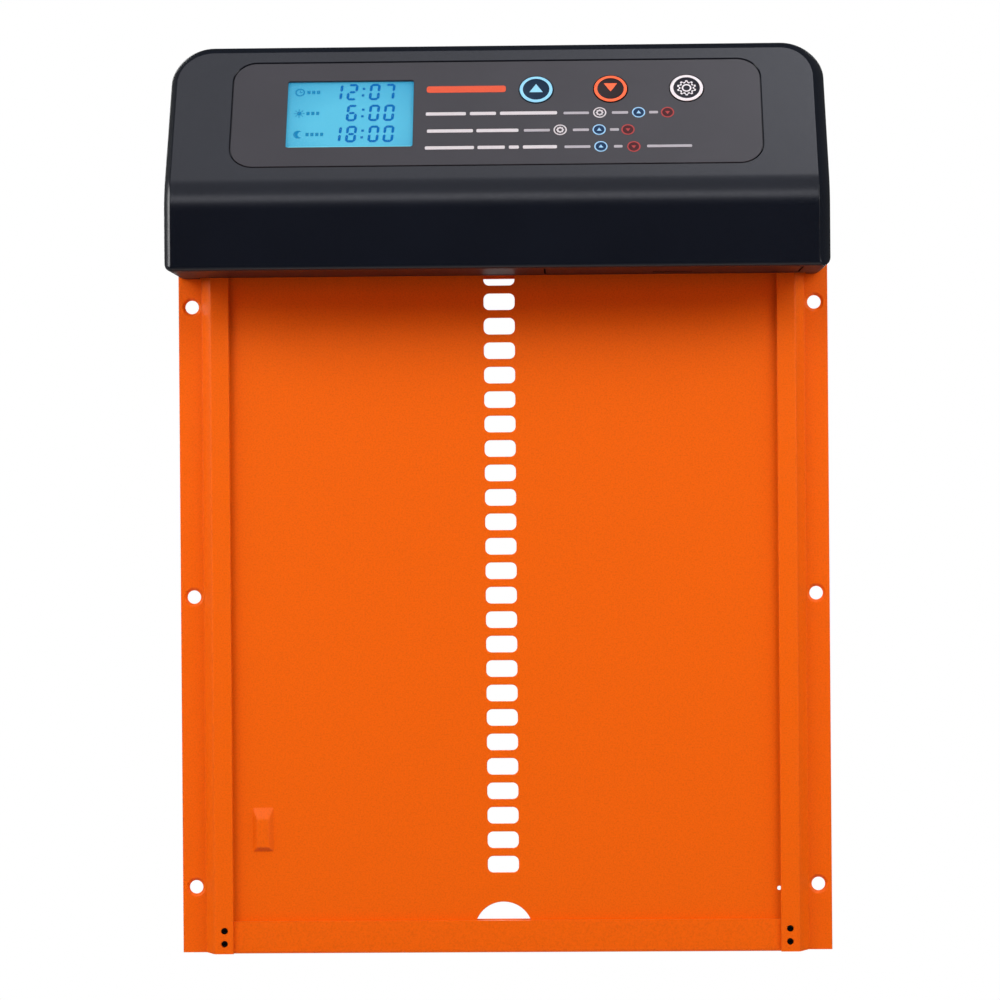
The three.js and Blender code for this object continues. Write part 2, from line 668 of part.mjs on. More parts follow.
// A lever switch seen from the side, its lever pointing down from a pivot at the origin.
const LEVER = { length: 14, reach: 2.6, sheet: 0.5, nubRadius: 2, pivotY: -12.1 };

function lever(direction) {
  const { length, reach, sheet, nubRadius } = LEVER;
  const arm = polygon([
    [0, 0],
    [sheet, 0],
    [reach + sheet, direction * length],
    [reach, direction * length],
  ]);
  const blade = prismX(arm, [-2, 2]);
  return blade.add(discX(nubRadius, [-2, 2], reach + nubRadius - 0.2, direction * length, 12));
}

function addLimitSwitch(name, x, pivotZ, direction) {
  const place = new THREE.Group();
  place.position.set(x, LEVER.pivotY, pivotZ);
  model.add(place);
  const ends = direction < 0 ? [-18, 2] : [-2, 18];
  addMesh(place, `${name}_limit_switch`, box([-3.2, 3.2], [-10.5, -0.4], ends), MATERIAL.darkPlastic);
  addMesh(place, `${name}_limit_lever`, lever(direction), MATERIAL.steel);
}

function addLimitSwitches() {
  addLimitSwitch("upper", -BUMP.x, 308.5, -1);
  addLimitSwitch("lower", BUMP.x, 299.2, 1);
}

// ---------------------------------------------------------------- battery

function batteryTray() {
  const { x, y, z, wall } = TRAY;
  const shrink = ([low, high]) => [low + wall, high - wall];
  const hollow = box(shrink(x), shrink(y), [z[0] - 1, z[1] - wall]);
  return box(x, y, z).subtract(hollow);
}

function batteryCell(direction) {
  const { radius, length, nub } = CELL;
  const profile = [
    [0, 0], [radius - 0.6, 0], [radius, 0.6], [radius, length - 0.6], [radius - 0.6, length],
    [2.7, length], [2.7, length + nub], [0, length + nub],
  ].map(([r, along]) => new THREE.Vector2(r, along - (length + nub) / 2));
  const geometry = new THREE.LatheGeometry(profile, 20);
  geometry.rotateZ(direction * (-Math.PI / 2));
  return solid(geometry);
}

class ConeSpring extends THREE.Curve {
  constructor(turns, wide, narrow, length) {
    super();
    Object.assign(this, { turns, wide, narrow, length });
  }

  getPoint(t, target = new THREE.Vector3()) {
    const angle = t * this.turns * 2 * Math.PI;
    const radius = this.wide + (this.narrow - this.wide) * t;
    return target.set(this.length * t, radius * Math.cos(angle), radius * Math.sin(angle));
  }
}

function contactSpring(direction) {
  const section = new THREE.Shape();
  section.absarc(0, 0, 0.35, 0, 2 * Math.PI);
  const geometry = new THREE.ExtrudeGeometry(section, {
    steps: 33,
    curveSegments: 3,
    bevelEnabled: false,
    extrudePath: new ConeSpring(3, 4.8, 3, direction * 2.7),
  });
  return solid(geometry);
}

function addBattery() {
  const { x, y, z, wall } = TRAY;
  addMesh(model, "battery_tray", batteryTray(), MATERIAL.darkPlastic);
  const middleZ = z[0] + CELL.radius + 1.4;
  const inner = [x[0] + wall, x[1] - wall];
  const middle = (inner[0] + inner[1]) / 2;
  const half = (CELL.length + CELL.nub) / 2;
  const rows = [y[0] + wall + CELL.radius + 0.9, y[1] - wall - CELL.radius - 0.9];
  rows.forEach((rowY, row) => {
    const direction = row === 0 ? 1 : -1;
    [-1, 1].forEach((side, column) => {
      const name = `battery_cell_${row * 2 + column + 1}`;
      const cell = addMesh(model, name, batteryCell(direction), MATERIAL.cell);
      cell.position.set(middle + direction * 0.9 + side * (half + 0.15), rowY, middleZ);
    });
    const springEnd = direction > 0 ? inner[0] + 0.9 : inner[1] - 0.9;
    const spring = addMesh(model, `contact_spring_${row + 1}`, contactSpring(direction), MATERIAL.steel);
    spring.position.set(springEnd, rowY, middleZ);
  });
  const plateY = [rows[0] - 6, rows[1] + 6];
  const plateZ = around(middleZ, 5);
  const terminal = box([inner[0] + GAP - 0.15, inner[0] + GAP + 0.2], around(rows[0], 6), plateZ);
  addMesh(model, "terminal_plate", terminal, MATERIAL.steel);
  const jumper = box([inner[1] - GAP - 0.2, inner[1] - GAP + 0.15], plateY, plateZ);
  addMesh(model, "jumper_plate", jumper, MATERIAL.steel);
}

function batteryHatch() {
  const { x, y, thickness, pinY, pinZ } = HATCH;
  const z = [HOUSING.bottom, HOUSING.bottom + thickness];
  const plate = box(x, y, z);
  const latch = box([66, 74], [y[1] - 2.2, y[1] - 1], [z[1] - 0.1, z[1] + 2]);
  const grips = [0, 1, 2].map((index) => {
    const middle = y[1] - 4 - index * 2;
    return box([62, 78], [middle - 0.4, middle + 0.4], [z[0] - 0.1, z[0] + 0.4]);
  });
  const pivots = [x[0], x[1]].map((end) => discX(0.9, [end - 0.3, end + 0.3], pinY, pinZ, 12));
  return cutAll(joinAll([plate, latch, ...pivots]), grips);
}

// ---------------------------------------------------------------- the whole door

addFrame();
addMesh(model, "door_panel", doorPanel(), MATERIAL.orange);
addHousing();
addControls();
addDrive();
addLimitSwitches();
addBattery();
addMesh(model, "battery_hatch", batteryHatch(), MATERIAL.black);

model.position.z = BASE_Z;

export default model;
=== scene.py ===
"""Automatic coop door: the looks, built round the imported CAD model.

Lengths in this file are millimetres until a mesh is made; every mesh is in metres.
X runs across, Y towards the wall and Z up. The housing's slope has its own flat
frame: x across, y up the slope, z outwards.
"""

import math

import bmesh
import bpy
from mathutils import Matrix, Vector


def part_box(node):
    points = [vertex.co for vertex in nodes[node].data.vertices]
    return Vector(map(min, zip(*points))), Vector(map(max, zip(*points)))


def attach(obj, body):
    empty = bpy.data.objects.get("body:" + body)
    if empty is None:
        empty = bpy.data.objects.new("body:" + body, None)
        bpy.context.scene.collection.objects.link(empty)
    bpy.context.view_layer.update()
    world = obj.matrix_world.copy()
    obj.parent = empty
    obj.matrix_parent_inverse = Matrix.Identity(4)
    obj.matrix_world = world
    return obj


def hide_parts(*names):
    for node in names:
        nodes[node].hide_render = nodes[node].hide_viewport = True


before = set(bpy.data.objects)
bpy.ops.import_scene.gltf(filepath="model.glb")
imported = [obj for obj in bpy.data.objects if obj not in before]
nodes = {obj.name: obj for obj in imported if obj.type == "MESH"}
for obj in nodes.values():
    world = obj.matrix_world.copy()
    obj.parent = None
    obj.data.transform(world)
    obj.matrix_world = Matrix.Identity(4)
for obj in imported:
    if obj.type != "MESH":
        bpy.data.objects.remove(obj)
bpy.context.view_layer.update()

MM = 0.001
BASE_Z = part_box("left_rail")[0].z / MM

# ---------------------------------------------------------------- sizes, as in the CAD model

FRAME_HEIGHT = 338.0
SHEET = 1.4
HOLE_X = 127.5
HOLE_Z = (26.8, 145.8, 264.8)
HOUSING_SCREW_X = 127.4
HOUSING_SCREW_Z = (291.0, 329.0)
RIVET_X = 115.6
RIVET_Z = 312.0
EAR_HALF = 24.0
SILL_SCREW_X = 115.4
SILL_SCREW_Z = (4.1, 9.4)
SILL_HEIGHT = 13.1

DOOR_HALF = 118.3
DOOR_Z = (8.6, 325.8)
DOOR_FRONT = -4.6
DOOR_SHEET = 1.5
RACK_X = -1.3
SLOT_Z = [35.8 + 10 * index for index in range(29)]
SLOT_SIZE = (12.7, 6.75, 2.3)
NOTCH_RADIUS = 11.9
BUMP_X = 99.5
BUMP_WIDTH = 8.4
BUMP_PROUD = 1.8
BUMP_LOW = (41.6, 59.4)
BUMP_HIGH = (315.2, 323.4)

MIDDLE_X = -1.3
HALF_WIDTH = 132.5
SHELL_Z = (276.3, 369.8)
SHELL_BACK = -1.7
SHELL_FRONT = -50.0
WALL = 2.5
KNEE_Z = 307.2
KNEE_RADIUS = 24.7
SLOPE = math.radians(32)
TOP_CORNER = (17.5, 14.5)
BOTTOM_CORNER = 4.0

PANEL = (212.5, 52.6, 9.3)
PANEL_Z = 340.4
PANEL_SUNK = 0.1
PANEL_THICKNESS = 1.0
DISPLAY_X = -58.8
DISPLAY_SIZE = (50.0, 32.8)
DISPLAY_UP = 0.2
BUTTON_X = (16.0, 46.0, 76.6)
BUTTON_UP = 11.4
BUTTON_RADIUS = 6.7
HATCH_X = (18.0, 120.0)
HATCH_Y = (-44.0, -15.0)
HATCH_PIN = (-43.0, 277.3)

TAN = math.tan(SLOPE)
FRAME_SPACE = Matrix.Translation((0, 0, BASE_Z))
SLOPE_SPACE = (
    FRAME_SPACE
    @ Matrix.Translation((MIDDLE_X, SHELL_FRONT + (PANEL_Z - KNEE_Z) * TAN, PANEL_Z))
    @ Matrix.Rotation(math.pi / 2 - SLOPE, 4, "X")
)
UPRIGHT = FRAME_SPACE @ Matrix.Rotation(math.pi / 2, 4, "X")

# ---------------------------------------------------------------- materials


class Look:
    """A principled material with helpers for the noise that drives it."""

    def __init__(self, name, roughness=0.5, metallic=0.0, specular=0.5):
        self.material = bpy.data.materials.new(name)
        self.material.use_nodes = True
        self.tree = self.material.node_tree
        self.shader = next(n for n in self.tree.nodes if n.type == "BSDF_PRINCIPLED")
        self.set("Roughness", roughness)
        self.set("Metallic", metallic)
        self.set("Specular IOR Level", specular)
        self.place = self.tree.nodes.new("ShaderNodeTexCoord").outputs["Object"]
        self.bumps = None

    def set(self, socket, value):
        self.shader.inputs[socket].default_value = value

    def link(self, source, target):
        self.tree.links.new(source, target)

    def noise(self, scale, detail=2.0, stretch=None, rough=0.55):
        node = self.tree.nodes.new("ShaderNodeTexNoise")
        node.inputs["Scale"].default_value = scale
        node.inputs["Detail"].default_value = detail
        node.inputs["Roughness"].default_value = rough
        source = self.place
        if stretch:
            mapping = self.tree.nodes.new("ShaderNodeMapping")
            mapping.inputs["Scale"].default_value = stretch
            self.link(source, mapping.inputs["Vector"])
            source = mapping.outputs["Vector"]
        self.link(source, node.inputs["Vector"])
        return node.outputs["Fac"]

    def ramp(self, factor, stops):
        node = self.tree.nodes.new("ShaderNodeValToRGB")
        elements = node.color_ramp.elements
        elements[0].position, elements[0].color = stops[0][0], (*stops[0][1], 1)
        elements[1].position, elements[1].color = stops[-1][0], (*stops[-1][1], 1)
        for position, colour in stops[1:-1]:
            element = elements.new(position)
            element.color = (*colour, 1)
        self.link(factor, node.inputs["Fac"])
        return node.outputs["Color"]

    def spread(self, factor, low, high, start=0.3, end=0.7):
        node = self.tree.nodes.new("ShaderNodeMapRange")
        node.inputs["From Min"].default_value = start
        node.inputs["From Max"].default_value = end
        node.inputs["To Min"].default_value = low
        node.inputs["To Max"].default_value = high
        self.link(factor, node.inputs["Value"])
        return node.outputs["Result"]

    def colour(self, source):
        self.link(source, self.shader.inputs["Base Color"])

    def roughness(self, source):
        self.link(source, self.shader.inputs["Roughness"])

    def bump(self, height, strength, distance):
        node = self.tree.nodes.new("ShaderNodeBump")
        node.inputs["Strength"].default_value = strength
        node.inputs["Distance"].default_value = distance * MM
        self.link(height, node.inputs["Height"])
        if self.bumps:
            self.link(self.bumps, node.inputs["Normal"])
        self.bumps = node.outputs["Normal"]
        self.link(self.bumps, self.shader.inputs["Normal"])


def shade(colour, factor):
    return tuple(channel * factor for channel in colour)


def powder_coat(name, colour):
    """Baked powder paint: a fine sandy orange peel with a satin gloss."""
    look = Look(name, specular=0.25)
    grain = look.noise(1500, 2.0)
    look.colour(look.ramp(grain, [(0.25, shade(colour, 0.88)), (0.5, colour), (0.78, shade(colour, 1.07))]))
    look.roughness(look.spread(look.noise(420, 2.0), 0.36, 0.5))
    look.bump(look.noise(60, 3.0), 0.06, 0.6)
    look.bump(look.noise(1100, 2.0), 0.3, 0.12)
    return look.material


def moulded(name, colour, roughness=(0.3, 0.4), grain=2400, depth=0.03, specular=0.5):
    """Injection-moulded plastic with a fine spark-eroded texture."""
    look = Look(name, specular=specular)
    fine = look.noise(grain, 2.0)
    look.colour(look.ramp(look.noise(35, 3.0), [(0.3, shade(colour, 0.92)), (0.7, shade(colour, 1.08))]))
    look.roughness(look.spread(look.noise(grain * 0.4, 2.0), *roughness))
    look.bump(fine, 0.25, depth)
    return look.material


def metal(name, colour, roughness=(0.22, 0.36), stretch=(1, 1, 14)):
    """Drawn or turned metal with fine lines."""
    look = Look(name, metallic=1.0)
    lines = look.noise(900, 3.0, stretch)
    look.colour(look.ramp(lines, [(0.3, shade(colour, 0.86)), (0.7, colour)]))
    look.roughness(look.spread(look.noise(260, 3.0), *roughness))
    look.bump(lines, 0.12, 0.03)
    return look.material


def ink(name, colour, roughness=0.45):
    """Screen-printed ink with the small unevenness of the print."""
    look = Look(name, roughness, specular=0.25)
    look.colour(look.ramp(look.noise(1800, 2.0), [(0.3, shade(colour, 0.93)), (0.7, colour)]))
    look.bump(look.noise(2600, 1.0), 0.1, 0.02)
    return look.material


def circuit_board():
    look = Look("circuit_board", 0.4)
    tracks = look.tree.nodes.new("ShaderNodeTexBrick")
    tracks.inputs["Scale"].default_value = 160
    tracks.inputs["Color1"].default_value = (0.012, 0.12, 0.04, 1)
    tracks.inputs["Color2"].default_value = (0.016, 0.15, 0.05, 1)
    tracks.inputs["Mortar"].default_value = (0.03, 0.22, 0.08, 1)
    tracks.inputs["Mortar Size"].default_value = 0.03
    look.link(look.place, tracks.inputs["Vector"])
    look.colour(tracks.outputs["Color"])
    look.bump(tracks.outputs["Fac"], 0.2, 0.05)
    return look.material


def display_light():
    """The lit face of the display: backlit cyan glow that falls off towards its edges, most towards its top
    corners; the darker top is painted shade of the window's upper edge.
    """
    look = Look("display_face", 0.3, specular=0.08)
    look.set("Base Color", (0.05, 0.25, 0.36, 1))
    focus = (SLOPE_SPACE @ Vector((DISPLAY_X, DISPLAY_UP - 6, 0))) * MM
    offset = look.tree.nodes.new("ShaderNodeVectorMath")
    offset.operation = "SUBTRACT"
    offset.inputs[1].default_value = focus
    look.link(look.place, offset.inputs[0])
    squeeze = look.tree.nodes.new("ShaderNodeVectorMath")
    squeeze.operation = "MULTIPLY"
    squeeze.inputs[1].default_value = (20, 0, 33)
    look.link(offset.outputs["Vector"], squeeze.inputs[0])
    length = look.tree.nodes.new("ShaderNodeVectorMath")
    length.operation = "LENGTH"
    look.link(squeeze.outputs["Vector"], length.inputs[0])
    # Glow brightest a little below the middle and darker towards the top: the darker top is painted shade
    # from the window's upper edge.
    glow = look.ramp(length.outputs["Value"], [(0.3, (0.055, 0.3, 0.43)), (0.85, (0.0, 0.13, 0.28))])
    look.link(glow, look.shader.inputs["Emission Color"])
    look.set("Emission Strength", 1.0)
    look.bump(look.noise(1500, 1.0), 0.05, 0.02)
    return look.material


def clear_window():
    """Clear cover of the display: almost unseen but for its gloss."""
    look = Look("display_lens", 0.06)
    look.set("Base Color", (0.02, 0.06, 0.08, 1))
    look.set("Alpha", 0.03)
    look.roughness(look.spread(look.noise(300, 2.0), 0.03, 0.08))
    look.material.surface_render_method = "BLENDED"
    return look.material


def segment_ink(name, colour, glow):
    """Liquid-crystal segments, which show the light behind them a little; also the glowing line that is a
    painted reflection along the display's lower edge.
    """
    look = Look(name, 0.35, specular=0.05)
    look.colour(look.ramp(look.noise(900, 1.0), [(0.3, shade(colour, 0.9)), (0.7, colour)]))
    look.set("Emission Color", (*glow, 1))
    look.set("Emission Strength", 1.0)
    return look.material


ORANGE = powder_coat("orange_powder_coat", (0.88, 0.144, 0.0018))
BLACK = moulded("black_shell", (0.004, 0.0062, 0.0115), (0.2, 0.27), 2400, 0.02)
# Rougher, less glossy black for down-facing faces; its darker colour is painted shade.
BLACK_SHADED_UNDERSIDE = moulded("black_shell_underside_painted_shade", (0.0035, 0.005, 0.0085), (0.42, 0.5), 2400, 0.03, 0.32)
PANEL_FACE = moulded("panel_print", (0.025, 0.0252, 0.0315), (0.29, 0.33), 2800, 0.0)
KEY_FACE = moulded("button_plastic", (0.008, 0.008, 0.015), (0.3, 0.4), 2600, 0.02, 0.25)
OPEN_FACE = moulded("open_key_face", (0.003, 0.02, 0.048), (0.3, 0.4), 2600, 0.02, 0.2)
CLOSE_FACE = moulded("close_key_face", (0.02, 0.012, 0.013), (0.3, 0.4), 2600, 0.02, 0.2)
INNER = moulded("inner_plastic", (0.028, 0.029, 0.033), (0.42, 0.55), 1500, 0.05)
NYLON = moulded("nylon", (0.78, 0.75, 0.66), (0.38, 0.5), 1200, 0.03)
STEEL = metal("steel", (0.52, 0.53, 0.55))
BLACK_STEEL = metal("black_steel", (0.018, 0.018, 0.02), (0.35, 0.5))
BRASS = metal("brass", (0.6, 0.42, 0.14))
SLEEVE = moulded("battery_sleeve", (0.05, 0.15, 0.07), (0.22, 0.3), 500, 0.02)
DIFFUSER = moulded("backlight", (0.75, 0.85, 0.9), (0.35, 0.45), 900, 0.03)
BOARD = circuit_board()
WINDOW = clear_window()
LIT = display_light()
SEGMENT = segment_ink("display_segment", (0.001, 0.006, 0.02), (0.001, 0.15, 0.5))
FAINT_SEGMENT = segment_ink("display_icon", (0.002, 0.012, 0.03), (0.01, 0.24, 0.5))
# Glowing line along the display's lower edge: a painted reflection of the window's side wall.
PAINTED_EDGE_REFLECTION = segment_ink("display_painted_edge_reflection", (0.1, 0.3, 0.35), (0.2, 0.68, 0.86))
WHITE_INK = ink("white_ink", (0.78, 0.79, 0.83))
TEXT_INK = ink("text_ink", (0.6, 0.61, 0.64))
GREY_INK = ink("grey_ink", (0.4, 0.41, 0.45))
BLUE_INK = ink("blue_ink", (0.28, 0.69, 0.95))
RED_INK = ink("red_ink", (0.98, 0.16, 0.06))
TITLE_INK = ink("title_ink", (0.68, 0.1, 0.045))
SMALL_BLUE = ink("small_blue_ink", (0.3, 0.58, 0.85))
BLUE_FILL = ink("blue_fill_ink", (0.003, 0.03, 0.09))
SMALL_RED = ink("small_red_ink", (0.38, 0.055, 0.055))
RED_FILL = ink("red_fill_ink", (0.06, 0.012, 0.016))

# ---------------------------------------------------------------- mesh helpers


def add_object(name, mesh, looks, body=None, replaces=()):
    piece = bpy.data.objects.new(name, mesh)
    bpy.context.scene.collection.objects.link(piece)
    mesh.materials.clear()
    for look in looks:
        mesh.materials.append(look)
    if body:
        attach(piece, body)
    if replaces:
        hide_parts(*replaces)
    return piece


def mesh_from(points, faces, space, name="mesh"):
    """A mesh from millimetre points in the given space."""
    mesh = bpy.data.meshes.new(name)
    mesh.from_pydata([(space @ Vector(point)) * MM for point in points], [], faces)
    mesh.validate()
    builder = bmesh.new()
    builder.from_mesh(mesh)
    bmesh.ops.recalc_face_normals(builder, faces=builder.faces)
    builder.to_mesh(mesh)
    builder.free()
    return mesh


def soften(mesh, angle=32):
    """Smooth shading with crisp edges above the given angle."""
    mesh.shade_smooth()
    mesh.set_sharp_from_angle(angle=math.radians(angle))


def settle(piece):
    """Applies the piece's modifiers."""
    bpy.context.view_layer.update()
    graph = bpy.context.evaluated_depsgraph_get()
    made = bpy.data.meshes.new_from_object(piece.evaluated_get(graph))
    old = piece.data
    piece.modifiers.clear()
    piece.data = made
    bpy.data.meshes.remove(old)
    return piece


def carve(piece, cutters, operation="DIFFERENCE"):
    """Boolean of one piece with several meshes, which are used up."""
    for mesh in cutters:
        tool = bpy.data.objects.new("tool", mesh)
        bpy.context.scene.collection.objects.link(tool)
        modifier = piece.modifiers.new("carve", "BOOLEAN")
        modifier.operation = operation
        modifier.solver = "EXACT"
        modifier.object = tool
        settle(piece)
        bpy.data.objects.remove(tool)
        bpy.data.meshes.remove(mesh)
    return piece


def clean(piece):
    """Removes the slivers that booleans leave, whose stray normals would show as streaks."""
    builder = bmesh.new()
    builder.from_mesh(piece.data)
    bmesh.ops.dissolve_degenerate(builder, dist=0.02 * MM, edges=builder.edges)
    builder.to_mesh(piece.data)
    builder.free()


def weigh(piece):
    """Weighted normals, so that large flat faces stay flat beside their rounded edges."""
    modifier = piece.modifiers.new("weigh", "WEIGHTED_NORMAL")
    modifier.keep_sharp = True
    modifier.weight = 80
    settle(piece)
    return piece


def arc(centre, radius, start, end, steps):
    """Points on an ellipse arc; angles in degrees."""
    rx, ry = radius if isinstance(radius, tuple) else (radius, radius)
    points = []
    for index in range(steps + 1):
        angle = math.radians(start + (end - start) * index / steps)
        points.append((centre[0] + rx * math.cos(angle), centre[1] + ry * math.sin(angle)))
    return points


def rounded(width, height, corner, centre=(0, 0), steps=6):
    """A rounded rectangle, anticlockwise."""
    x, y = width / 2 - corner, height / 2 - corner
    points = []
    for (cx, cy), start in zip(((x, -y), (x, y), (-x, y), (-x, -y)), (-90, 0, 90, 180)):
        points += arc((centre[0] + cx, centre[1] + cy), corner, start, start + 90, steps)
    return points


def circle(radius, centre=(0, 0), steps=40):
    return arc(centre, radius, 0, 360 * (steps - 1) / steps, steps - 1)


def filleted(points, radii, steps=4):
    """A closed polygon with each corner rounded by its own radius."""
    out = []
    count = len(points)
    for index, (point, radius) in enumerate(zip(points, radii)):
        corner = Vector(point)
        before = Vector(points[index - 1]) - corner
        after = Vector(points[(index + 1) % count]) - corner
        if radius <= 0:
            out.append(tuple(corner))
            continue
        reach = radius / math.tan(before.angle(after) / 2)
        reach = min(reach, before.length * 0.48, after.length * 0.48)
        first = corner + before.normalized() * reach
        last = corner + after.normalized() * reach
        for step in range(steps + 1):
            t = step / steps
            out.append(tuple(first * (1 - t) ** 2 + corner * 2 * t * (1 - t) + last * t * t))
    return out


def prism(points, low, high, space, flare=0.0):
    """A closed outline drawn out along its third axis, its high end optionally flared."""
    count = len(points)
    levels = [(low, 0.0), (high, 0.0)]
    if flare:
        levels = [(low, 0.0), (-flare, 0.0), (0.0, flare), (high, flare)]
    out = []
    for level, grow in levels:
        for index, (x, y) in enumerate(points):
            if grow:
                a, b = Vector(points[index - 1]), Vector(points[(index + 1) % count])
                side = (b - a).normalized()
                x, y = x + side.y * grow, y - side.x * grow
            out.append((x, y, level))
    faces = [list(reversed(range(count))), [count * (len(levels) - 1) + i for i in range(count)]]
    for level in range(len(levels) - 1):
        base = level * count
        for i in range(count):
            j = (i + 1) % count
            faces.append([base + i, base + j, base + count + j, base + count + i])
    return mesh_from(out, faces, space)


def block(x, y, z):
    return prism([(x[0], y[0]), (x[1], y[0]), (x[1], y[1]), (x[0], y[1])], z[0], z[1], FRAME_SPACE)


def turned(profile, space, steps=48):
    """A profile of (radius, height) turned about its third axis; closed at radius 0."""
    points, rings = [], []
    for radius, height in profile:
        if radius < 1e-6:
            rings.append([len(points)])
            points.append((0, 0, height))
            continue
        rings.append([len(points) + i for i in range(steps)])
        for i in range(steps):
            angle = 2 * math.pi * i / steps
            points.append((radius * math.cos(angle), radius * math.sin(angle), height))
    faces, bands = [], []
    for band, (low, high) in enumerate(zip(rings, rings[1:])):
        for i in range(steps):
            j = (i + 1) % steps
            corners = [low[i % len(low)], low[j % len(low)], high[j % len(high)], high[i % len(high)]]
            unique = list(dict.fromkeys(corners))
            if len(unique) > 2:
                faces.append(unique)
                bands.append(band)
    mesh = mesh_from(points, faces, space)
    return mesh, bands


def sheet(name, loops, thickness, edge, space, steps=2):
    """A flat plate with holes and rounded edges, its front at height 0 and its back below."""
    curve = bpy.data.curves.new(name, "CURVE")
    curve.dimensions = "2D"
    curve.fill_mode = "BOTH"
    curve.extrude = thickness / 2 - edge
    curve.bevel_depth = edge
    curve.bevel_resolution = steps
    curve.offset = -edge
    for loop in loops:
        spline = curve.splines.new("POLY")
        spline.points.add(len(loop) - 1)
        for point, (x, y) in zip(spline.points, loop):
            point.co = (x, y, 0, 1)
        spline.use_cyclic_u = True
    holder = bpy.data.objects.new(name, curve)
    bpy.context.scene.collection.objects.link(holder)
    bpy.context.view_layer.update()
    graph = bpy.context.evaluated_depsgraph_get()
    mesh = bpy.data.meshes.new_from_object(holder.evaluated_get(graph))
    bpy.data.objects.remove(holder)
    bpy.data.curves.remove(curve)
    mesh.transform(Matrix.Scale(MM, 4) @ space @ Matrix.Translation((0, 0, -thickness / 2)))
    builder = bmesh.new()
    builder.from_mesh(mesh)
    bmesh.ops.remove_doubles(builder, verts=builder.verts, dist=1e-6)
    bmesh.ops.recalc_face_normals(builder, faces=builder.faces)
    builder.to_mesh(mesh)
    builder.free()
    return mesh


def merged(meshes):
    """Several meshes as one; material numbers are kept."""
    builder = bmesh.new()
    for mesh in meshes:
        builder.from_mesh(mesh)
        bpy.data.meshes.remove(mesh)
    mesh = bpy.data.meshes.new("merged")
    builder.to_mesh(mesh)
    builder.free()
    return mesh


# ---------------------------------------------------------------- frame

RAIL_SECTION = [
    ((133, 0), 0.3),
    ((113, 0), 0.3),
    ((113, -1.4), 0.3),
    ((121.2, -1.4), 0.5),
    ((118.34, -6.6), 0.5),
    ((111.7, -6.6), 0.4),
    ((111.7, -8), 0.55),
    ((119.4, -8), 1.1),
    ((123.3, -1.4), 0.7),
    ((133, -1.4), 0.5),
]


def wall_hole(x, z, radius, sink, depth=1.0):
    """Cutter for a countersunk hole from the front of a flange."""
    profile = [(0, -4), (radius, -4), (radius, SHEET - depth),
               (sink, SHEET - 0.12), (sink + 0.3, SHEET + 0.02),
               (sink + 0.3, 4), (0, 4)]
    return turned(profile, UPRIGHT @ Matrix.Translation((x, z, 0)))[0]


def rail(side):
    section = filleted([point for point, _ in RAIL_SECTION], [radius for _, radius in RAIL_SECTION], 5)
    if side < 0:
        section = [(-x, y) for x, y in reversed(section)]
    mesh = prism(section, 0.0, FRAME_HEIGHT, FRAME_SPACE)
    name = "left_rail" if side < 0 else "right_rail"
    piece = add_object(name + "_coated", mesh, [ORANGE], "frame", [name])
    cutters = [wall_hole(side * HOLE_X, z, 2.75, 3.75) for z in HOLE_Z]
    cutters += [
        turned([(0, -4), (3.05, -4), (3.05, 0), (1.8, SHEET), (1.8, 4), (0, 4)],
               UPRIGHT @ Matrix.Translation((side * HOUSING_SCREW_X, z, 0)))[0]
        for z in HOUSING_SCREW_Z
    ]
    cutters.append(turned([(0, -4), (1.6, -4), (1.6, 4), (0, 4)],
                          UPRIGHT @ Matrix.Translation((side * RIVET_X, RIVET_Z, 0)), 20)[0])
    for z in SILL_SCREW_Z:
        profile = [(0, 5.8), (1.35, 5.8), (1.35, 7.85), (1.45, 8.05), (1.45, 9), (0, 9)]
        cutters.append(turned(profile, UPRIGHT @ Matrix.Translation((side * SILL_SCREW_X, z, 0)), 28)[0])
    carve(piece, [merged(cutters)])
    soften(piece.data, 40)
    weigh(piece)


# Lays a section drawn in Y and Z along X.
ALONG_X = FRAME_SPACE @ Matrix(((0, 0, 1, 0), (1, 0, 0, 0), (0, 1, 0, 0), (0, 0, 0, 1)))


def sill():
    outer, inner = 118.0, 112.4
    front = [(-6.3, 0), (-1.7, 0), (-1.7, 1.2), (-5.1, 1.2), (-5.1, SILL_HEIGHT), (-6.3, SILL_HEIGHT)]
    back = [(-6.2, 0), (0, 0), (0, SILL_HEIGHT), (-1.4, SILL_HEIGHT), (-1.4, 1.2), (-6.2, 1.2)]
    meshes = [
        prism(filleted(front, [1.3, 0.1, 0.1, 0.6, 0.12, 0.1], 5), -outer, outer, ALONG_X),
        prism(filleted(back, [1.2, 1.0, 0.4, 0.4, 0.5, 0.3], 5), -inner, inner, ALONG_X),
    ]
    mesh = merged(meshes)
    piece = add_object("sill_channel_coated", mesh, [ORANGE], "frame", ["sill_channel"])
    soften(piece.data, 40)
    weigh(piece)


def header():
    half = 112.4
    plate = [(-half, 275.3), (half, 275.3), (half, 366), (-half, 366)]
    meshes = [sheet("header", [filleted(plate, [0, 0, 2.5, 2.5], 6)], SHEET, 0.25,
                    UPRIGHT @ Matrix.Translation((0, 0, SHEET)))]
    for side in (-1, 1):
        low, high = sorted((side * (half - 6), side * 118.2))
        ear = filleted([(low, RIVET_Z - EAR_HALF), (high, RIVET_Z - EAR_HALF), (high, RIVET_Z + EAR_HALF),
                        (low, RIVET_Z + EAR_HALF)], [1.5] * 4, 4)
        hole = circle(1.6, (side * RIVET_X, RIVET_Z), 20)
        meshes.append(sheet("ear", [ear, hole], 0.9, 0.2, UPRIGHT @ Matrix.Translation((0, 0, 2.6))))
        web_low, web_high = sorted((side * (half - 6), side * half))
        meshes.append(block((web_low, web_high), (-2.4, -1.0),
                            (RIVET_Z - EAR_HALF + 1, RIVET_Z + EAR_HALF - 1)))
    piece = add_object("header_plate_coated", merged(meshes), [ORANGE], "frame",
                       ["header_plate"])
    soften(piece.data, 35)
    weigh(piece)


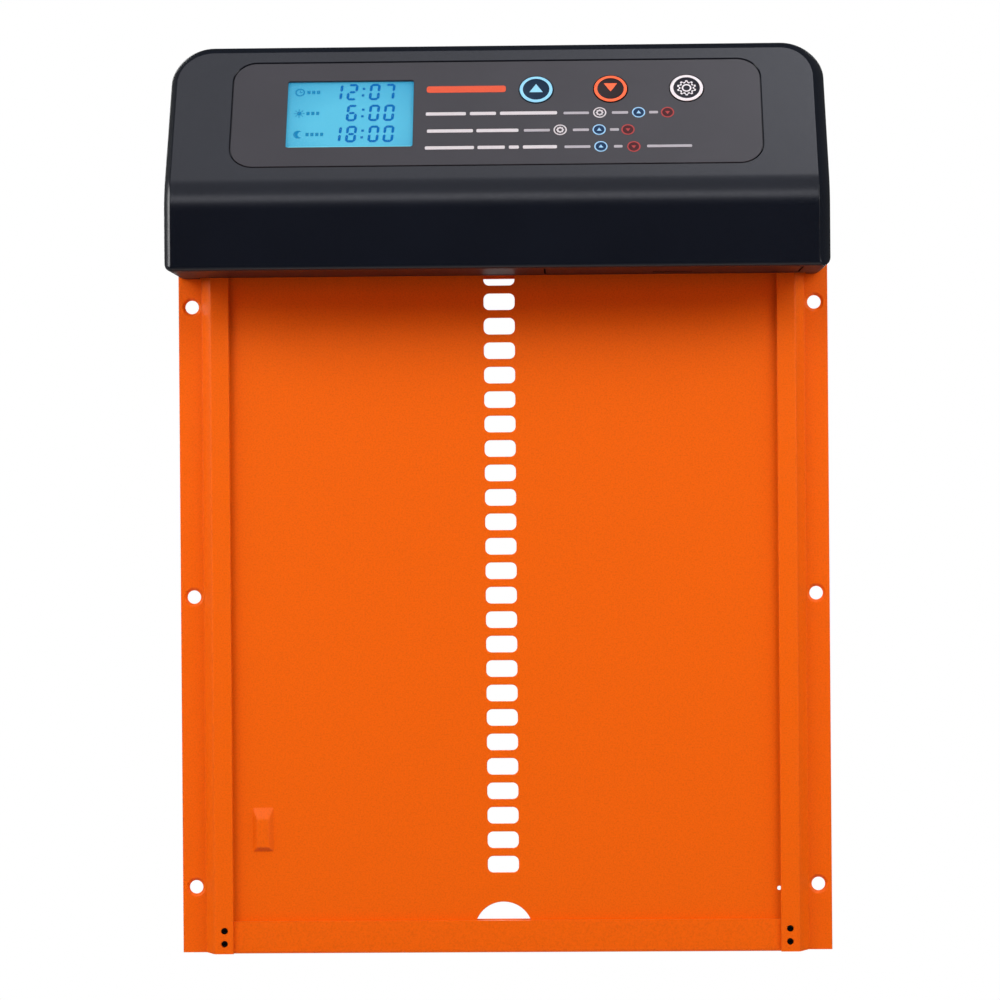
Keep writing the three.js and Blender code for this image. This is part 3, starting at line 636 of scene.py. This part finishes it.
def sill_screws():
    """Small black countersunk screws with a round socket."""
    for side, side_name in ((-1, "left"), (1, "right")):
        for z, level in zip(SILL_SCREW_Z, ("lower", "upper")):
            space = UPRIGHT @ Matrix.Translation((side * SILL_SCREW_X, z, 0))
            profile = [(0, 5.0), (0.85, 5.0), (0.85, 7.1), (1.0, 7.12), (1.15, 7.25),
                       (1.15, 7.75), (1.02, 7.93), (0.82, 8.0), (0.62, 8.0),
                       (0.55, 7.94), (0.52, 7.5), (0, 7.45)]
            mesh, _ = turned(profile, space, 32)
            node = f"sill_screw_{side_name}_{level}"
            piece = add_object(node + "_head", mesh, [BLACK_STEEL], "frame", [node])
            soften(piece.data, 35)


# ---------------------------------------------------------------- door


def bump_height(x, z, low, high):
    """Height of the pressed rib over the sheet: short foot, long sloping top, slanted sides."""
    ramps = (
        (BUMP_WIDTH / 2 - abs(x)) / 1.9,
        (z - low) / 1.8,
        (high - z) / min(4.6, (high - low) / 2 - 1.2),
        1.0,
    )
    sharpness = 11.0
    total = sum(math.exp(-sharpness * ramp) for ramp in ramps)
    return BUMP_PROUD * min(1.0, -math.log(total) / sharpness + 0.02)


def pressed_rib(x, low, high):
    """The raised rib as a fine patch whose border lies just under the sheet's face."""
    step = 0.3
    columns = int((BUMP_WIDTH + 2.4) / step) + 1
    rows = int((high - low + 2.4) / step) + 1
    points, faces = [], []
    for row in range(rows):
        z = low - 1.2 + row * step
        for column in range(columns):
            dx = -(BUMP_WIDTH / 2 + 1.2) + column * step
            height = max(bump_height(dx, z, low, high), -0.25)
            points.append((x + dx, DOOR_FRONT - height, z))
    for row in range(rows - 1):
        for column in range(columns - 1):
            a = row * columns + column
            faces.append((a, a + 1, a + columns + 1, a + columns))
    mesh = mesh_from(points, faces, FRAME_SPACE)
    mesh.shade_smooth()
    return mesh


def rib_dent(x, low, high):
    """Cutter for the hollow behind a pressed rib."""
    half = BUMP_WIDTH / 2 - 1
    back = DOOR_FRONT + DOOR_SHEET
    deep = back - BUMP_PROUD + 0.1
    top = min(3.9, (high - low - 2) / 2 - 1.2)
    points = [
        (x - half, back + 0.1, low + 1), (x + half, back + 0.1, low + 1),
        (x + half, back + 0.1, high - 1), (x - half, back + 0.1, high - 1),
        (x - half + 1.9, deep, low + 2.6), (x + half - 1.9, deep, low + 2.6),
        (x + half - 1.9, deep, high - 1 - top), (x - half + 1.9, deep, high - 1 - top),
    ]
    faces = [(3, 2, 1, 0), (4, 5, 6, 7), (0, 1, 5, 4), (1, 2, 6, 5), (2, 3, 7, 6), (3, 0, 4, 7)]
    return mesh_from(points, faces, FRAME_SPACE)


def door():
    low, high = DOOR_Z
    half = DOOR_HALF
    notch = arc((RACK_X, low), NOTCH_RADIUS, 180, 0, 40)
    outline = filleted([(half, low), (half, high), (-half, high), (-half, low)], [0.6] * 4, 4)
    width, height, corner = SLOT_SIZE
    slots = [rounded(width, height, corner, (RACK_X, z), 6) for z in SLOT_Z]
    pinhole = circle(0.9, (111.3, 25.5), 20)
    edge = 0.22
    mesh = sheet("door", [outline + notch, *slots, pinhole], DOOR_SHEET, edge,
                 UPRIGHT @ Matrix.Translation((0, 0, -DOOR_FRONT)))
    piece = add_object("door_panel_coated", mesh, [ORANGE], "door", ["door_panel"])
    ribs = ((-BUMP_X, BUMP_LOW), (BUMP_X, BUMP_HIGH))
    carve(piece, [rib_dent(x, *span) for x, span in ribs])
    soften(piece.data, 35)
    weigh(piece)
    for index, (x, span) in enumerate(ribs):
        add_object(f"door_rib_{index + 1}", pressed_rib(x, *span), [ORANGE], "door")


# ---------------------------------------------------------------- housing


def face_y(z, inset=0.0):
    """Front of the housing at a height: upright, then a bend, then the slope."""
    knee = KNEE_Z - inset * math.tan(SLOPE / 2)
    radius = KNEE_RADIUS - inset
    tangent = radius * math.tan(SLOPE / 2)
    front = SHELL_FRONT + inset
    if z <= knee - tangent:
        return front
    if z >= knee - tangent + radius * math.sin(SLOPE):
        return front + (z - knee) * TAN
    return front + radius - math.sqrt(radius * radius - (z - knee + tangent) ** 2)


def smoothstep(value):
    value = min(max(value, 0.0), 1.0)
    return value * value * (3 - 2 * value)


LEFT_RIM = 3.2
RIGHT_RIM = 4.8
TOP_RIM = 2.2
BOTTOM_RIM = 1.35


def half_outline(inset, side_rim):
    """Left half of the housing's front view: outer point, crease point and weights for side, top, bottom."""
    half = HALF_WIDTH - inset
    low, high = SHELL_Z[0] + inset, SHELL_Z[1] - inset
    corner = BOTTOM_CORNER - inset
    rx, rz = TOP_CORNER[0] - inset, TOP_CORNER[1] - inset
    out = []
    for step in range(15):
        t = step / 14
        angle = math.radians(90 * t)
        outer = (-half + corner * (1 - math.sin(angle)), low + corner * (1 - math.cos(angle)))
        rise = BOTTOM_RIM + max(corner - BOTTOM_RIM, 0.4) * t
        out.append((outer, (-half + side_rim, low + rise), (smoothstep(t), 0, 1 - smoothstep(t))))
    knee_low = KNEE_Z - KNEE_RADIUS * math.tan(SLOPE / 2)
    knee_high = knee_low + KNEE_RADIUS * math.sin(SLOPE)
    heights = [low + corner + 4, 288, 294]
    heights += [knee_low + (knee_high - knee_low) * step / 28 for step in range(29)]
    heights += [317, 322, 328, 335, 342, high - rz - 5]
    out += [((-half, z), (-half + side_rim, z), (1, 0, 0)) for z in heights]
    for step in range(19):
        angle = math.radians(90 * step / 18)
        x, z = -math.cos(angle), math.sin(angle)
        normal = Vector((x / rx, z / rz)).normalized()
        top = smoothstep((step / 18 - 0.1) / 0.9)
        width = side_rim + (TOP_RIM - side_rim) * top
        outer = Vector((-half + rx + rx * x, high - rz + rz * z))
        out.append((tuple(outer), tuple(outer - normal * width), (1 - top, top, 0)))
    return out


def bezier(first, middle, last, steps):
    """Points on a quadratic curve."""
    out = []
    for step in range(steps + 1):
        t = step / steps
        out.append(tuple(a * (1 - t) ** 2 + b * 2 * t * (1 - t) + c * t * t
                         for a, b, c in zip(first, middle, last)))
    return out


# Rim from the face outwards: share of the rim's width, then its depth at the side, top and bottom.
OUTER_RIM = [
    (1.12, 0, 0, 0),
    (1.05, 0.015, 0.012, 0.004),
    (1.0, 0.07, 0.04, 0.02),
    *bezier((0.955, 0.27, 0.1, 0.05), (0.4, 2.9, 0.5, 0.12), (0, 8, 1.55, 1.4), 12),
]
INNER_RIM = [(1.1, 0, 0, 0), (0.4, 0.6, 0.6, 0.6), (0.1, 2.4, 1.5, 1.5), (0, 6, 3, 3)]


def hull(inset, back, rim):
    """Closed housing volume: a ruled front, a rim that falls away to the sides, and straight walls."""
    halves = [(1, half_outline(inset, LEFT_RIM)), (-1, half_outline(inset, RIGHT_RIM))]
    count = len(halves[0][1])
    points = []
    for share, *depths in rim:
        for side, outline in halves:
            for outer, crease, weights in outline:
                x = outer[0] + (crease[0] - outer[0]) * share
                z = outer[1] + (crease[1] - outer[1]) * share
                depth = sum(weight * own for weight, own in zip(weights, depths))
                points.append((MIDDLE_X + side * x, face_y(z, inset) + depth, z))
    for side, outline in halves:
        points += [(MIDDLE_X + side * outer[0], back, outer[1]) for outer, _, _ in outline]
    faces = []

    def at(ring, index, right=False):
        return ring * 2 * count + (count if right else 0) + index

    for ring in (0, len(rim)):
        for i in range(count - 1):
            faces.append((at(ring, i), at(ring, i + 1), at(ring, i + 1, True), at(ring, i, True)))
    for ring in range(len(rim)):
        for right in (False, True):
            for i in range(count - 1):
                faces.append((at(ring, i, right), at(ring, i + 1, right),
                              at(ring + 1, i + 1, right), at(ring + 1, i, right)))
        for i in (0, count - 1):
            faces.append((at(ring, i), at(ring, i, True), at(ring + 1, i, True), at(ring + 1, i)))
    return mesh_from(points, faces, FRAME_SPACE)


def housing():
    mesh = hull(0.0, SHELL_BACK, OUTER_RIM)
    piece = add_object("front_shell_moulded", mesh, [BLACK], "frame", ["front_shell"])
    recess = rounded(PANEL[0] + 0.6, PANEL[1] + 0.6, PANEL[2] + 0.3, steps=14)
    window = rounded(PANEL[0] - 11, PANEL[1] - 11, 4)
    cutters = [
        hull(WALL, 5.0, INNER_RIM),
        prism(recess, -PANEL_SUNK - PANEL_THICKNESS - 0.3, 2, SLOPE_SPACE, 0.3),
        prism(window, -6, 1, SLOPE_SPACE),
        block((-124, 124), (-8.5, 3), (SHELL_Z[0] - 1, SHELL_Z[0] + 4)),
        block((-120, 120), (-7.2, 3), (SHELL_Z[1] - 5, SHELL_Z[1] + 1)),
        block((HATCH_X[0] - 0.6, HATCH_X[1] + 0.6), (HATCH_Y[0] - 0.6, HATCH_Y[1] + 0.6), (270, 280)),
    ]
    carve(piece, cutters)
    clean(piece)
    # Down-facing faces get the rougher black, whose darker colour is painted shade.
    piece.data.materials.append(BLACK_SHADED_UNDERSIDE)
    for polygon in piece.data.polygons:
        polygon.material_index = 1 if polygon.normal.z < -0.7 else 0
    soften(piece.data, 30)
    weigh(piece)


def control_panel():
    outline = rounded(*PANEL, steps=14)
    display = rounded(DISPLAY_SIZE[0] + 0.8, DISPLAY_SIZE[1] + 0.8, 0.8, (DISPLAY_X, DISPLAY_UP), 4)
    holes = [circle(BUTTON_RADIUS + 0.3, (x, BUTTON_UP), 64) for x in BUTTON_X]
    mesh = sheet("panel", [outline, display, *holes], PANEL_THICKNESS, 0.22,
                 SLOPE_SPACE @ Matrix.Translation((0, 0, -PANEL_SUNK)), 3)
    piece = add_object("control_panel_face", mesh, [PANEL_FACE], "frame", ["control_panel"])
    soften(piece.data, 35)
    weigh(piece)


# ---------------------------------------------------------------- print, display and buttons

PRINT_HEIGHT = 0.05
UP_MARK = [(-2.7, -1.4), (2.7, -1.4), (0, 2.8)]
DOWN_MARK = [(-2.7, 2.75), (0, -1.45), (2.7, 2.75)]


def printed(name, loops, look, space=SLOPE_SPACE, base=-PANEL_SUNK, height=PRINT_HEIGHT, body="frame"):
    """A printed mark: a very thin plate just proud of the surface it is printed on."""
    mesh = sheet(name, loops, height * 2, 0.0, space @ Matrix.Translation((0, 0, base + height)))
    return add_object(name, mesh, [look], body)


def gear_outline(radius, teeth=10, depth=0.13):
    """A small cog outline for the settings mark."""
    points = []
    for tooth in range(teeth):
        for offset, reach in ((-0.30, 1 - depth), (-0.17, 1), (0.17, 1), (0.30, 1 - depth)):
            angle = 2 * math.pi * (tooth + offset) / teeth + math.pi / 2
            points.append((radius * reach * math.cos(angle), radius * reach * math.sin(angle)))
    return points


def moved(points, x, y, factor=1.0):
    return [(x + factor * a, y + factor * b) for a, b in points]


def bar(x0, x1, y, height):
    return rounded(x1 - x0, height, height * 0.3, ((x0 + x1) / 2, y), 3)


def legend():
    """Plain bars where instructions would be printed, with the small key marks between them."""
    strong = [
        bar(-28.3, -12.2, -0.5, 1.6), bar(-10.6, -0.1, -0.5, 1.6), bar(1.5, 24.4, -0.5, 1.6),
        bar(-27.7, -9.3, -9.2, 1.6), bar(-7.9, 8.9, -9.2, 1.6),
        bar(-28.4, -8.8, -17.7, 1.6), bar(-7.4, 3.5, -17.7, 1.6), bar(5.1, 9.1, -17.7, 1.6),
        bar(10.7, 24.3, -17.7, 1.6),
    ]
    printed("legend_bold", strong, TEXT_INK)
    light = [
        bar(27.0, 37.2, -0.7, 1.25), bar(46.4, 52.9, -0.7, 1.25), bar(61.3, 64.9, -0.7, 1.25),
        bar(11.1, 21.5, -9.3, 1.25), bar(30.7, 37.1, -9.3, 1.25), bar(45.5, 49.1, -9.3, 1.25),
        bar(27.3, 37.6, -17.8, 1.25), bar(47.0, 50.4, -17.8, 1.25), bar(60.2, 78.1, -17.8, 1.25),
    ]
    printed("legend_light", light, GREY_INK)
    printed("legend_title", [bar(-28.1, 3.8, 12.0, 3.3)], TITLE_INK)
    radius = 2.65
    for index, (x, y) in enumerate(((57.1, -0.7), (41.2, -9.3), (41.8, -17.8))):
        key_mark(f"legend_open_{index + 1}", x, y, radius, SMALL_BLUE, BLUE_FILL, 1)
    for index, (x, y) in enumerate(((68.7, -0.8), (52.7, -9.4), (54.9, -18.0))):
        key_mark(f"legend_close_{index + 1}", x, y, radius, SMALL_RED, RED_FILL, -1)
    for index, (x, y) in enumerate(((41.5, -0.6), (25.6, -9.2))):
        rings = [circle(radius, (x, y), 32), circle(radius - 0.5, (x, y), 32)]
        cog = moved(gear_outline(1.55, 8), x, y)
        printed(f"legend_cog_{index + 1}", [*rings, cog, circle(0.75, (x, y), 16)], TEXT_INK)


def key_mark(name, x, y, radius, ring_look, fill_look, direction):
    """A small picture of a key: a filled disc, its ring and its triangle."""
    printed(name + "_fill", [circle(radius - 0.35, (x, y), 32)], fill_look)
    marks = [circle(radius, (x, y), 32), circle(radius - 0.5, (x, y), 32)]
    triangle = [(x + a, y + direction * b) for a, b in ((-0.95, -0.55), (0.95, -0.55), (0, 0.95))]
    printed(name, [*marks, triangle], ring_look, base=-PANEL_SUNK + PRINT_HEIGHT, height=0.03)


SEGMENTS = {
    "0": "abcdef", "1": "bc", "2": "abged", "6": "acdefg", "7": "abc", "8": "abcdefg",
}


def segment_shapes(digit, x, y):
    """Seven-segment strokes of one digit as outlines, leaning to the right."""
    half_w, half_h, stroke, lean = 1.6, 3.65, 1.1, 0.08
    shapes = []
    run = {
        "a": ((-half_w, half_h), (half_w, half_h)), "g": ((-half_w, 0), (half_w, 0)),
        "d": ((-half_w, -half_h), (half_w, -half_h)), "f": ((-half_w, half_h), (-half_w, 0)),
        "b": ((half_w, half_h), (half_w, 0)), "e": ((-half_w, 0), (-half_w, -half_h)),
        "c": ((half_w, 0), (half_w, -half_h)),
    }
    for name in SEGMENTS[digit]:
        start, end = Vector(run[name][0]), Vector(run[name][1])
        along = (end - start).normalized()
        across = Vector((-along.y, along.x)) * stroke / 2
        start += along * (0.3 if start.y == 0 else 0.02)
        end -= along * (0.3 if end.y == 0 else 0.02)
        tip = along * stroke / 2
        corners = [start, start + tip + across, end - tip + across,
                   end, end - tip - across, start + tip - across]
        shapes.append([(x + p.x + lean * p.y, y + p.y) for p in corners])
    return shapes


def display():
    rows = (("12", "07", 12.2), ("6", "00", 1.5), ("18", "00", -9.2))
    hours = (-64.3, -58.2)
    minutes = (-49.2, -43.2)
    shapes = []
    for hour, minute, y in rows:
        for digit, x in zip(hour, hours[-len(hour):]):
            shapes += segment_shapes(digit, x, y)
        for digit, x in zip(minute, minutes):
            shapes += segment_shapes(digit, x, y)
        for offset in (-1.7, 1.7):
            shapes.append(rounded(1.05, 1.1, 0.15, (-53.75 + 0.08 * offset, y + offset), 2))
    face = rounded(DISPLAY_SIZE[0] + 3, DISPLAY_SIZE[1] + 3, 0.6, (DISPLAY_X, DISPLAY_UP), 3)
    mesh = sheet("display", [face], 1.6, 0.1, SLOPE_SPACE @ Matrix.Translation((0, 0, -1.5)))
    piece = add_object("display_glass_lit", mesh, [LIT], "frame", ["display_glass"])
    soften(piece.data, 35)
    for name, loops, look in (("display_digits", shapes, SEGMENT), ("display_icons", icons(), FAINT_SEGMENT)):
        mark = printed(name, loops, look, base=-1.5, height=0.04)
    x, y = DISPLAY_X, DISPLAY_UP
    w, h = DISPLAY_SIZE
    # A thin glowing line along the lower edge of the display: a painted reflection of the window's side wall.
    line = bar(x - w / 2 + 0.4, x + w / 2 - 0.4, y - h / 2 + 0.55, 0.35)
    printed("display_painted_edge_reflection", [line], PAINTED_EDGE_REFLECTION, base=-1.5, height=0.04)


def icons():
    """Small generic pictures in place of the row labels: a clock, a sun and a moon, each with a dash row."""
    loops = []
    x = -79.4
    y = 12.3
    loops += [circle(2.0, (x, y), 28), circle(1.4, (x, y), 28)]
    loops += [bar(x - 0.2, x + 1.0, y, 0.45), rounded(0.45, 1.2, 0.05, (x, y + 0.5), 1)]
    y = 1.5
    loops += [circle(1.05, (x, y), 20)]
    for ray in range(8):
        angle = math.radians(45 * ray)
        middle = (x + 1.75 * math.cos(angle), y + 1.75 * math.sin(angle))
        dash = [(-0.4, -0.2), (0.4, -0.2), (0.4, 0.2), (-0.4, 0.2)]
        turn = Matrix.Rotation(angle, 2)
        loops.append([tuple(Vector(middle) + turn @ Vector(p)) for p in dash])
    y = -9.2
    loops.append(arc((x, y), 2.0, 50, 310, 24) + arc((x + 1.35, y), 1.6, 255, 105, 14))
    for y, ends in ((12.3, -70.9), (1.5, -70.6), (-9.2, -68.3)):
        start = -76.5
        while start + 1.3 < ends + 0.3:
            loops.append(rounded(1.3, 1.7, 0.2, (start + 0.65, y), 2))
            start += 1.95
    return loops


def button(index, name, ring_look, face_look):
    space = SLOPE_SPACE @ Matrix.Translation((BUTTON_X[index], BUTTON_UP, 0))
    r = BUTTON_RADIUS
    profile = [(0, -2.8), (1.6, -2.8), (1.8, -2.6), (1.8, -2.3), (r + 0.9, -2.3), (r + 1, -2.2),
               (r + 1, -1.6), (r + 0.9, -1.5), (r, -1.5), (r, -0.05), (r - 0.06, 0.1),
               (r - 0.2, 0.21), (r - 0.4, 0.25),
               (r - 1.35, 0.25), (r - 1.45, 0.22), (r - 2.2, 0.12), (0, 0.06)]
    mesh, bands = turned(profile, space, 72)
    add_object(f"{name}_button_cap", mesh, [face_look, ring_look], f"{name}_key",
               [f"{name}_button"])
    ring_bands = {10, 11, 12}
    for polygon, band in zip(mesh.polygons, bands):
        polygon.material_index = 1 if band in ring_bands else 0
    soften(mesh, 35)
    if name == "settings":
        loops = [gear_outline(3.9, 10, 0.2), gear_outline(3.2, 10, 0.22)]
        loops += [circle(1.95, (0, 0), 28), circle(1.35, (0, 0), 28)]
    else:
        loops = [UP_MARK if name == "open" else DOWN_MARK]
    mark = printed(f"{name}_button_mark", loops, ring_look, space, base=0.06, height=0.06, body=f"{name}_key")


def hatch():
    """Battery hatch on the underside: a rounded cover with finger grooves, hinge pins and a latch."""
    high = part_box("battery_hatch")[1]
    z = SHELL_Z[0]
    x0, x1 = HATCH_X
    y0, y1 = HATCH_Y
    middle = Matrix.Translation(((x0 + x1) / 2, (y0 + y1) / 2, z))
    facing_down = FRAME_SPACE @ middle @ Matrix.Rotation(math.pi, 4, "X")
    plate = sheet("hatch", [rounded(x1 - x0, y1 - y0, 2.0)], 2.0, 0.3, facing_down)
    pins = [
        turned([(0, -0.3), (0.75, -0.3), (0.9, -0.15), (0.9, 0.3), (0, 0.3)],
               FRAME_SPACE @ Matrix.Translation((end, HATCH_PIN[0], HATCH_PIN[1]))
               @ Matrix.Rotation(math.copysign(math.pi / 2, x0 + x1 - 2 * end), 4, "Y"), 24)[0]
        for end in (x0, x1)
    ]
    # The cover faces down and takes the rougher black, whose darker colour is painted shade.
    piece = add_object("battery_hatch_cover", plate, [BLACK_SHADED_UNDERSIDE], "hatch", ["battery_hatch"])
    grooves = [
        prism(rounded(16, 0.9, 0.4, (0, y), 4), -0.45, 1, facing_down) for y in (-10.5, -8.5, -6.5, -4.5)
    ]
    carve(piece, grooves)
    soften(piece.data, 35)
    weigh(piece)
    latch = filleted([(y1 - 2.2, z + 1.9), (y1 - 1, z + 1.9), (y1 - 1, high.z / MM - BASE_Z),
                      (y1 - 2.2, z + 3.6)], [0, 0, 0.3, 0.3], 4)
    small = merged([*pins, prism(latch, 66, 74, ALONG_X)])
    soften(small, 35)
    add_object("battery_hatch_latch", small, [BLACK], "hatch")


rail(-1)
rail(1)
sill()
header()
sill_screws()
door()
housing()
control_panel()
hatch()
legend()
display()
button(0, "open", BLUE_INK, OPEN_FACE)
button(1, "close", RED_INK, CLOSE_FACE)
button(2, "settings", WHITE_INK, KEY_FACE)

# ---------------------------------------------------------------- CAD nodes that keep their shape

KEPT = {
    "back_cover": INNER, "display_lens": WINDOW, "display_backlight": DIFFUSER, "main_board": BOARD,
    "motor_can": STEEL, "gearbox": BRASS, "motor_bracket": STEEL, "output_shaft": STEEL, "drive_gear": BRASS,
    "pinion_shaft": STEEL, "pinion_gear": NYLON, "lifting_pinion": NYLON, "bearing_block_left": NYLON,
    "bearing_block_right": NYLON, "upper_limit_switch": INNER, "lower_limit_switch": INNER,
    "upper_limit_lever": STEEL, "lower_limit_lever": STEEL, "battery_tray": INNER, "terminal_plate": STEEL,
    "jumper_plate": STEEL,
}
STARTS = {
    "cover_screw": STEEL, "housing_screw": STEEL, "header_rivet": STEEL, "battery_cell": SLEEVE,
    "contact_spring": STEEL, "open_": INNER, "close_": INNER, "settings_": INNER,
}


def look_of(node):
    if node in KEPT:
        return KEPT[node]
    if node.endswith("_plunger"):
        return NYLON
    return next((look for start, look in STARTS.items() if node.startswith(start)), INNER)


for node_name, node_object in nodes.items():
    if node_object.hide_render:
        continue
    node_object.data.materials.clear()
    node_object.data.materials.append(look_of(node_name))

# ---------------------------------------------------------------- stage, lights and camera

TARGET = Vector((0, -0.03, 0.2))
WHITE = (1, 1, 1)
COOL = (0.98, 0.98, 1.06)
WARM = (1, 0.22, 0.05)
FLOOR_HALF = 6
FLOOR_Z = -1
CAMERA_PLACE = (0.02717, -1.3745, 0.17872)
CAMERA_YAW = 1.2
CAMERA_ROLL = 0.445
FOCAL_LENGTH = 120.66


def emissive(name, strength, tint, across):
    """A lamp's own light, optionally graded across its width by (position, share) stops."""
    material = bpy.data.materials.new(name)
    material.use_nodes = True
    tree = material.node_tree
    tree.nodes.clear()
    glow = tree.nodes.new("ShaderNodeEmission")
    glow.inputs["Color"].default_value = (*tint, 1)
    glow.inputs["Strength"].default_value = strength
    if across:
        place = tree.nodes.new("ShaderNodeTexCoord")
        split = tree.nodes.new("ShaderNodeSeparateXYZ")
        ramp = tree.nodes.new("ShaderNodeValToRGB")
        elements = ramp.color_ramp.elements
        elements.new(across[1][0])
        for element, (position, share) in zip(elements, across):
            element.position = position
            element.color = (*(channel * share for channel in tint), 1)
        tree.links.new(place.outputs["Generated"], split.inputs[0])
        tree.links.new(split.outputs["X"], ramp.inputs["Fac"])
        tree.links.new(ramp.outputs["Color"], glow.inputs["Color"])
    out = tree.nodes.new("ShaderNodeOutputMaterial")
    tree.links.new(glow.outputs["Emission"], out.inputs["Surface"])
    return material


def softbox(name, azimuth, elevation, distance, width, height, strength,
            tint=WHITE, across=None, mirrored=True):
    """A soft light panel that faces the object. Azimuth 0 is in front and 90 to the right."""
    a, e = math.radians(azimuth), math.radians(elevation)
    out = Vector((math.sin(a) * math.cos(e), -math.cos(a) * math.cos(e), math.sin(e)))
    turn = out.to_track_quat("Z", "Y").to_matrix().to_4x4()
    space = Matrix.Translation(TARGET + out * distance) @ turn
    w, h = width / 2, height / 2
    mesh = bpy.data.meshes.new(name)
    corners = ((-w, -h, 0), (w, -h, 0), (w, h, 0), (-w, h, 0))
    mesh.from_pydata([space @ Vector(corner) for corner in corners], [], [(0, 1, 2, 3)])
    panel = bpy.data.objects.new(name, mesh)
    bpy.context.scene.collection.objects.link(panel)
    mesh.materials.append(emissive(name, strength, tint, across))
    panel.visible_camera = False
    panel.visible_glossy = mirrored
    return panel


softbox("light_top", 6, 76, 1.25, 1.6, 0.42, 2.75, COOL, ((0.33, 0.45), (0.5, 0.56), (0.64, 1.0)))
softbox("light_fill", 0, 52, 1.4, 1.3, 0.66, 0.5, COOL)
softbox("light_strip", 0, 31, 1.4, 1.3, 0.27, 2.1, COOL)
softbox("light_left", -42, 27, 1.3, 0.8, 0.58, 5.1, mirrored=False)
softbox("light_right", 42, 27, 1.3, 0.8, 0.58, 4.8, mirrored=False)
softbox("light_low_left", -34, 4, 1.3, 0.8, 0.32, 2.9, WARM, mirrored=False)
softbox("light_low_right", 34, 4, 1.3, 0.8, 0.32, 2.9, WARM, mirrored=False)
softbox("light_edge_left", -66, 24, 1.2, 0.3, 0.6, 3.0)
softbox("light_edge_right", 66, 24, 1.2, 0.3, 0.6, 2.2)
softbox("light_side_left", -84, 16, 1.3, 0.7, 0.5, 3.6, mirrored=False)
softbox("light_side_right", 84, 16, 1.3, 0.7, 0.5, 2.4, mirrored=False)
softbox("light_left_rear", -112, 12, 1.3, 0.7, 0.3, 2.6)
softbox("light_back", 180, 14, 1.5, 1.2, 0.9, 2.6)

floor_mesh = bpy.data.meshes.new("floor")
floor_corners = [(x * FLOOR_HALF, y * FLOOR_HALF, FLOOR_Z) for x, y in ((-1, -1), (1, -1), (1, 1), (-1, 1))]
floor_mesh.from_pydata(floor_corners, [], [(0, 1, 2, 3)])
floor = bpy.data.objects.new("floor", floor_mesh)
bpy.context.scene.collection.objects.link(floor)
floor_look = Look("floor_look", 0.9, specular=0.2)
floor_greys = [(0.3, (0.86, 0.86, 0.86)), (0.7, (0.9, 0.9, 0.9))]
floor_look.colour(floor_look.ramp(floor_look.noise(3.0, 3.0), floor_greys))
floor_glow = floor_look.tree.nodes.new("ShaderNodeLightPath").outputs["Is Camera Ray"]
floor_look.link(floor_look.spread(floor_glow, 0.04, 0.75, 0, 1),
                floor_look.shader.inputs["Emission Strength"])
floor_look.set("Emission Color", (1, 1, 1, 1))
underneath = floor_look.tree.nodes.new("ShaderNodeNewGeometry").outputs["Backfacing"]
floor_look.link(floor_look.spread(underneath, 1.0, 0.0, 0, 1), floor_look.shader.inputs["Alpha"])
floor_mesh.materials.append(floor_look.material)

world = bpy.data.worlds.new("studio")
bpy.context.scene.world = world
world.use_nodes = True
sky = world.node_tree
sky.nodes.clear()
direction = sky.nodes.new("ShaderNodeTexCoord").outputs["Generated"]
parts = sky.nodes.new("ShaderNodeSeparateXYZ")
sky.links.new(direction, parts.inputs[0])
fade = sky.nodes.new("ShaderNodeMapRange")
fade.inputs["From Min"].default_value = -0.97
fade.inputs["From Max"].default_value = -0.6
fade.inputs["To Min"].default_value = 0.02
fade.inputs["To Max"].default_value = 0.09
sky.links.new(parts.outputs["Y"], fade.inputs["Value"])
ambient = sky.nodes.new("ShaderNodeBackground")
sky.links.new(fade.outputs["Result"], ambient.inputs["Strength"])
plain = sky.nodes.new("ShaderNodeBackground")
plain.inputs["Strength"].default_value = 1.0
plain.inputs["Color"].default_value = (1, 1, 1, 1)
seen = sky.nodes.new("ShaderNodeLightPath")
mix = sky.nodes.new("ShaderNodeMixShader")
sky.links.new(seen.outputs["Is Camera Ray"], mix.inputs["Fac"])
sky.links.new(ambient.outputs["Background"], mix.inputs[1])
sky.links.new(plain.outputs["Background"], mix.inputs[2])
world_out = sky.nodes.new("ShaderNodeOutputWorld")
sky.links.new(mix.outputs["Shader"], world_out.inputs["Surface"])

yaw, roll = math.radians(CAMERA_YAW), math.radians(CAMERA_ROLL)
level = Vector((math.cos(yaw), math.sin(yaw), 0))
right = level * math.cos(roll) - Vector((0, 0, math.sin(roll)))
up = level * math.sin(roll) + Vector((0, 0, math.cos(roll)))
backwards = Vector((math.sin(yaw), -math.cos(yaw), 0))
lens = bpy.data.cameras.new("camera")
lens.sensor_width = 36
lens.lens = FOCAL_LENGTH
camera = bpy.data.objects.new("camera", lens)
bpy.context.scene.collection.objects.link(camera)
turn = Matrix((right, up, backwards)).transposed().to_4x4()
camera.matrix_world = Matrix.Translation(CAMERA_PLACE) @ turn
bpy.context.scene.camera = camera

bpy.context.scene.view_settings.view_transform = "Standard"
bpy.context.scene.view_settings.look = "None"
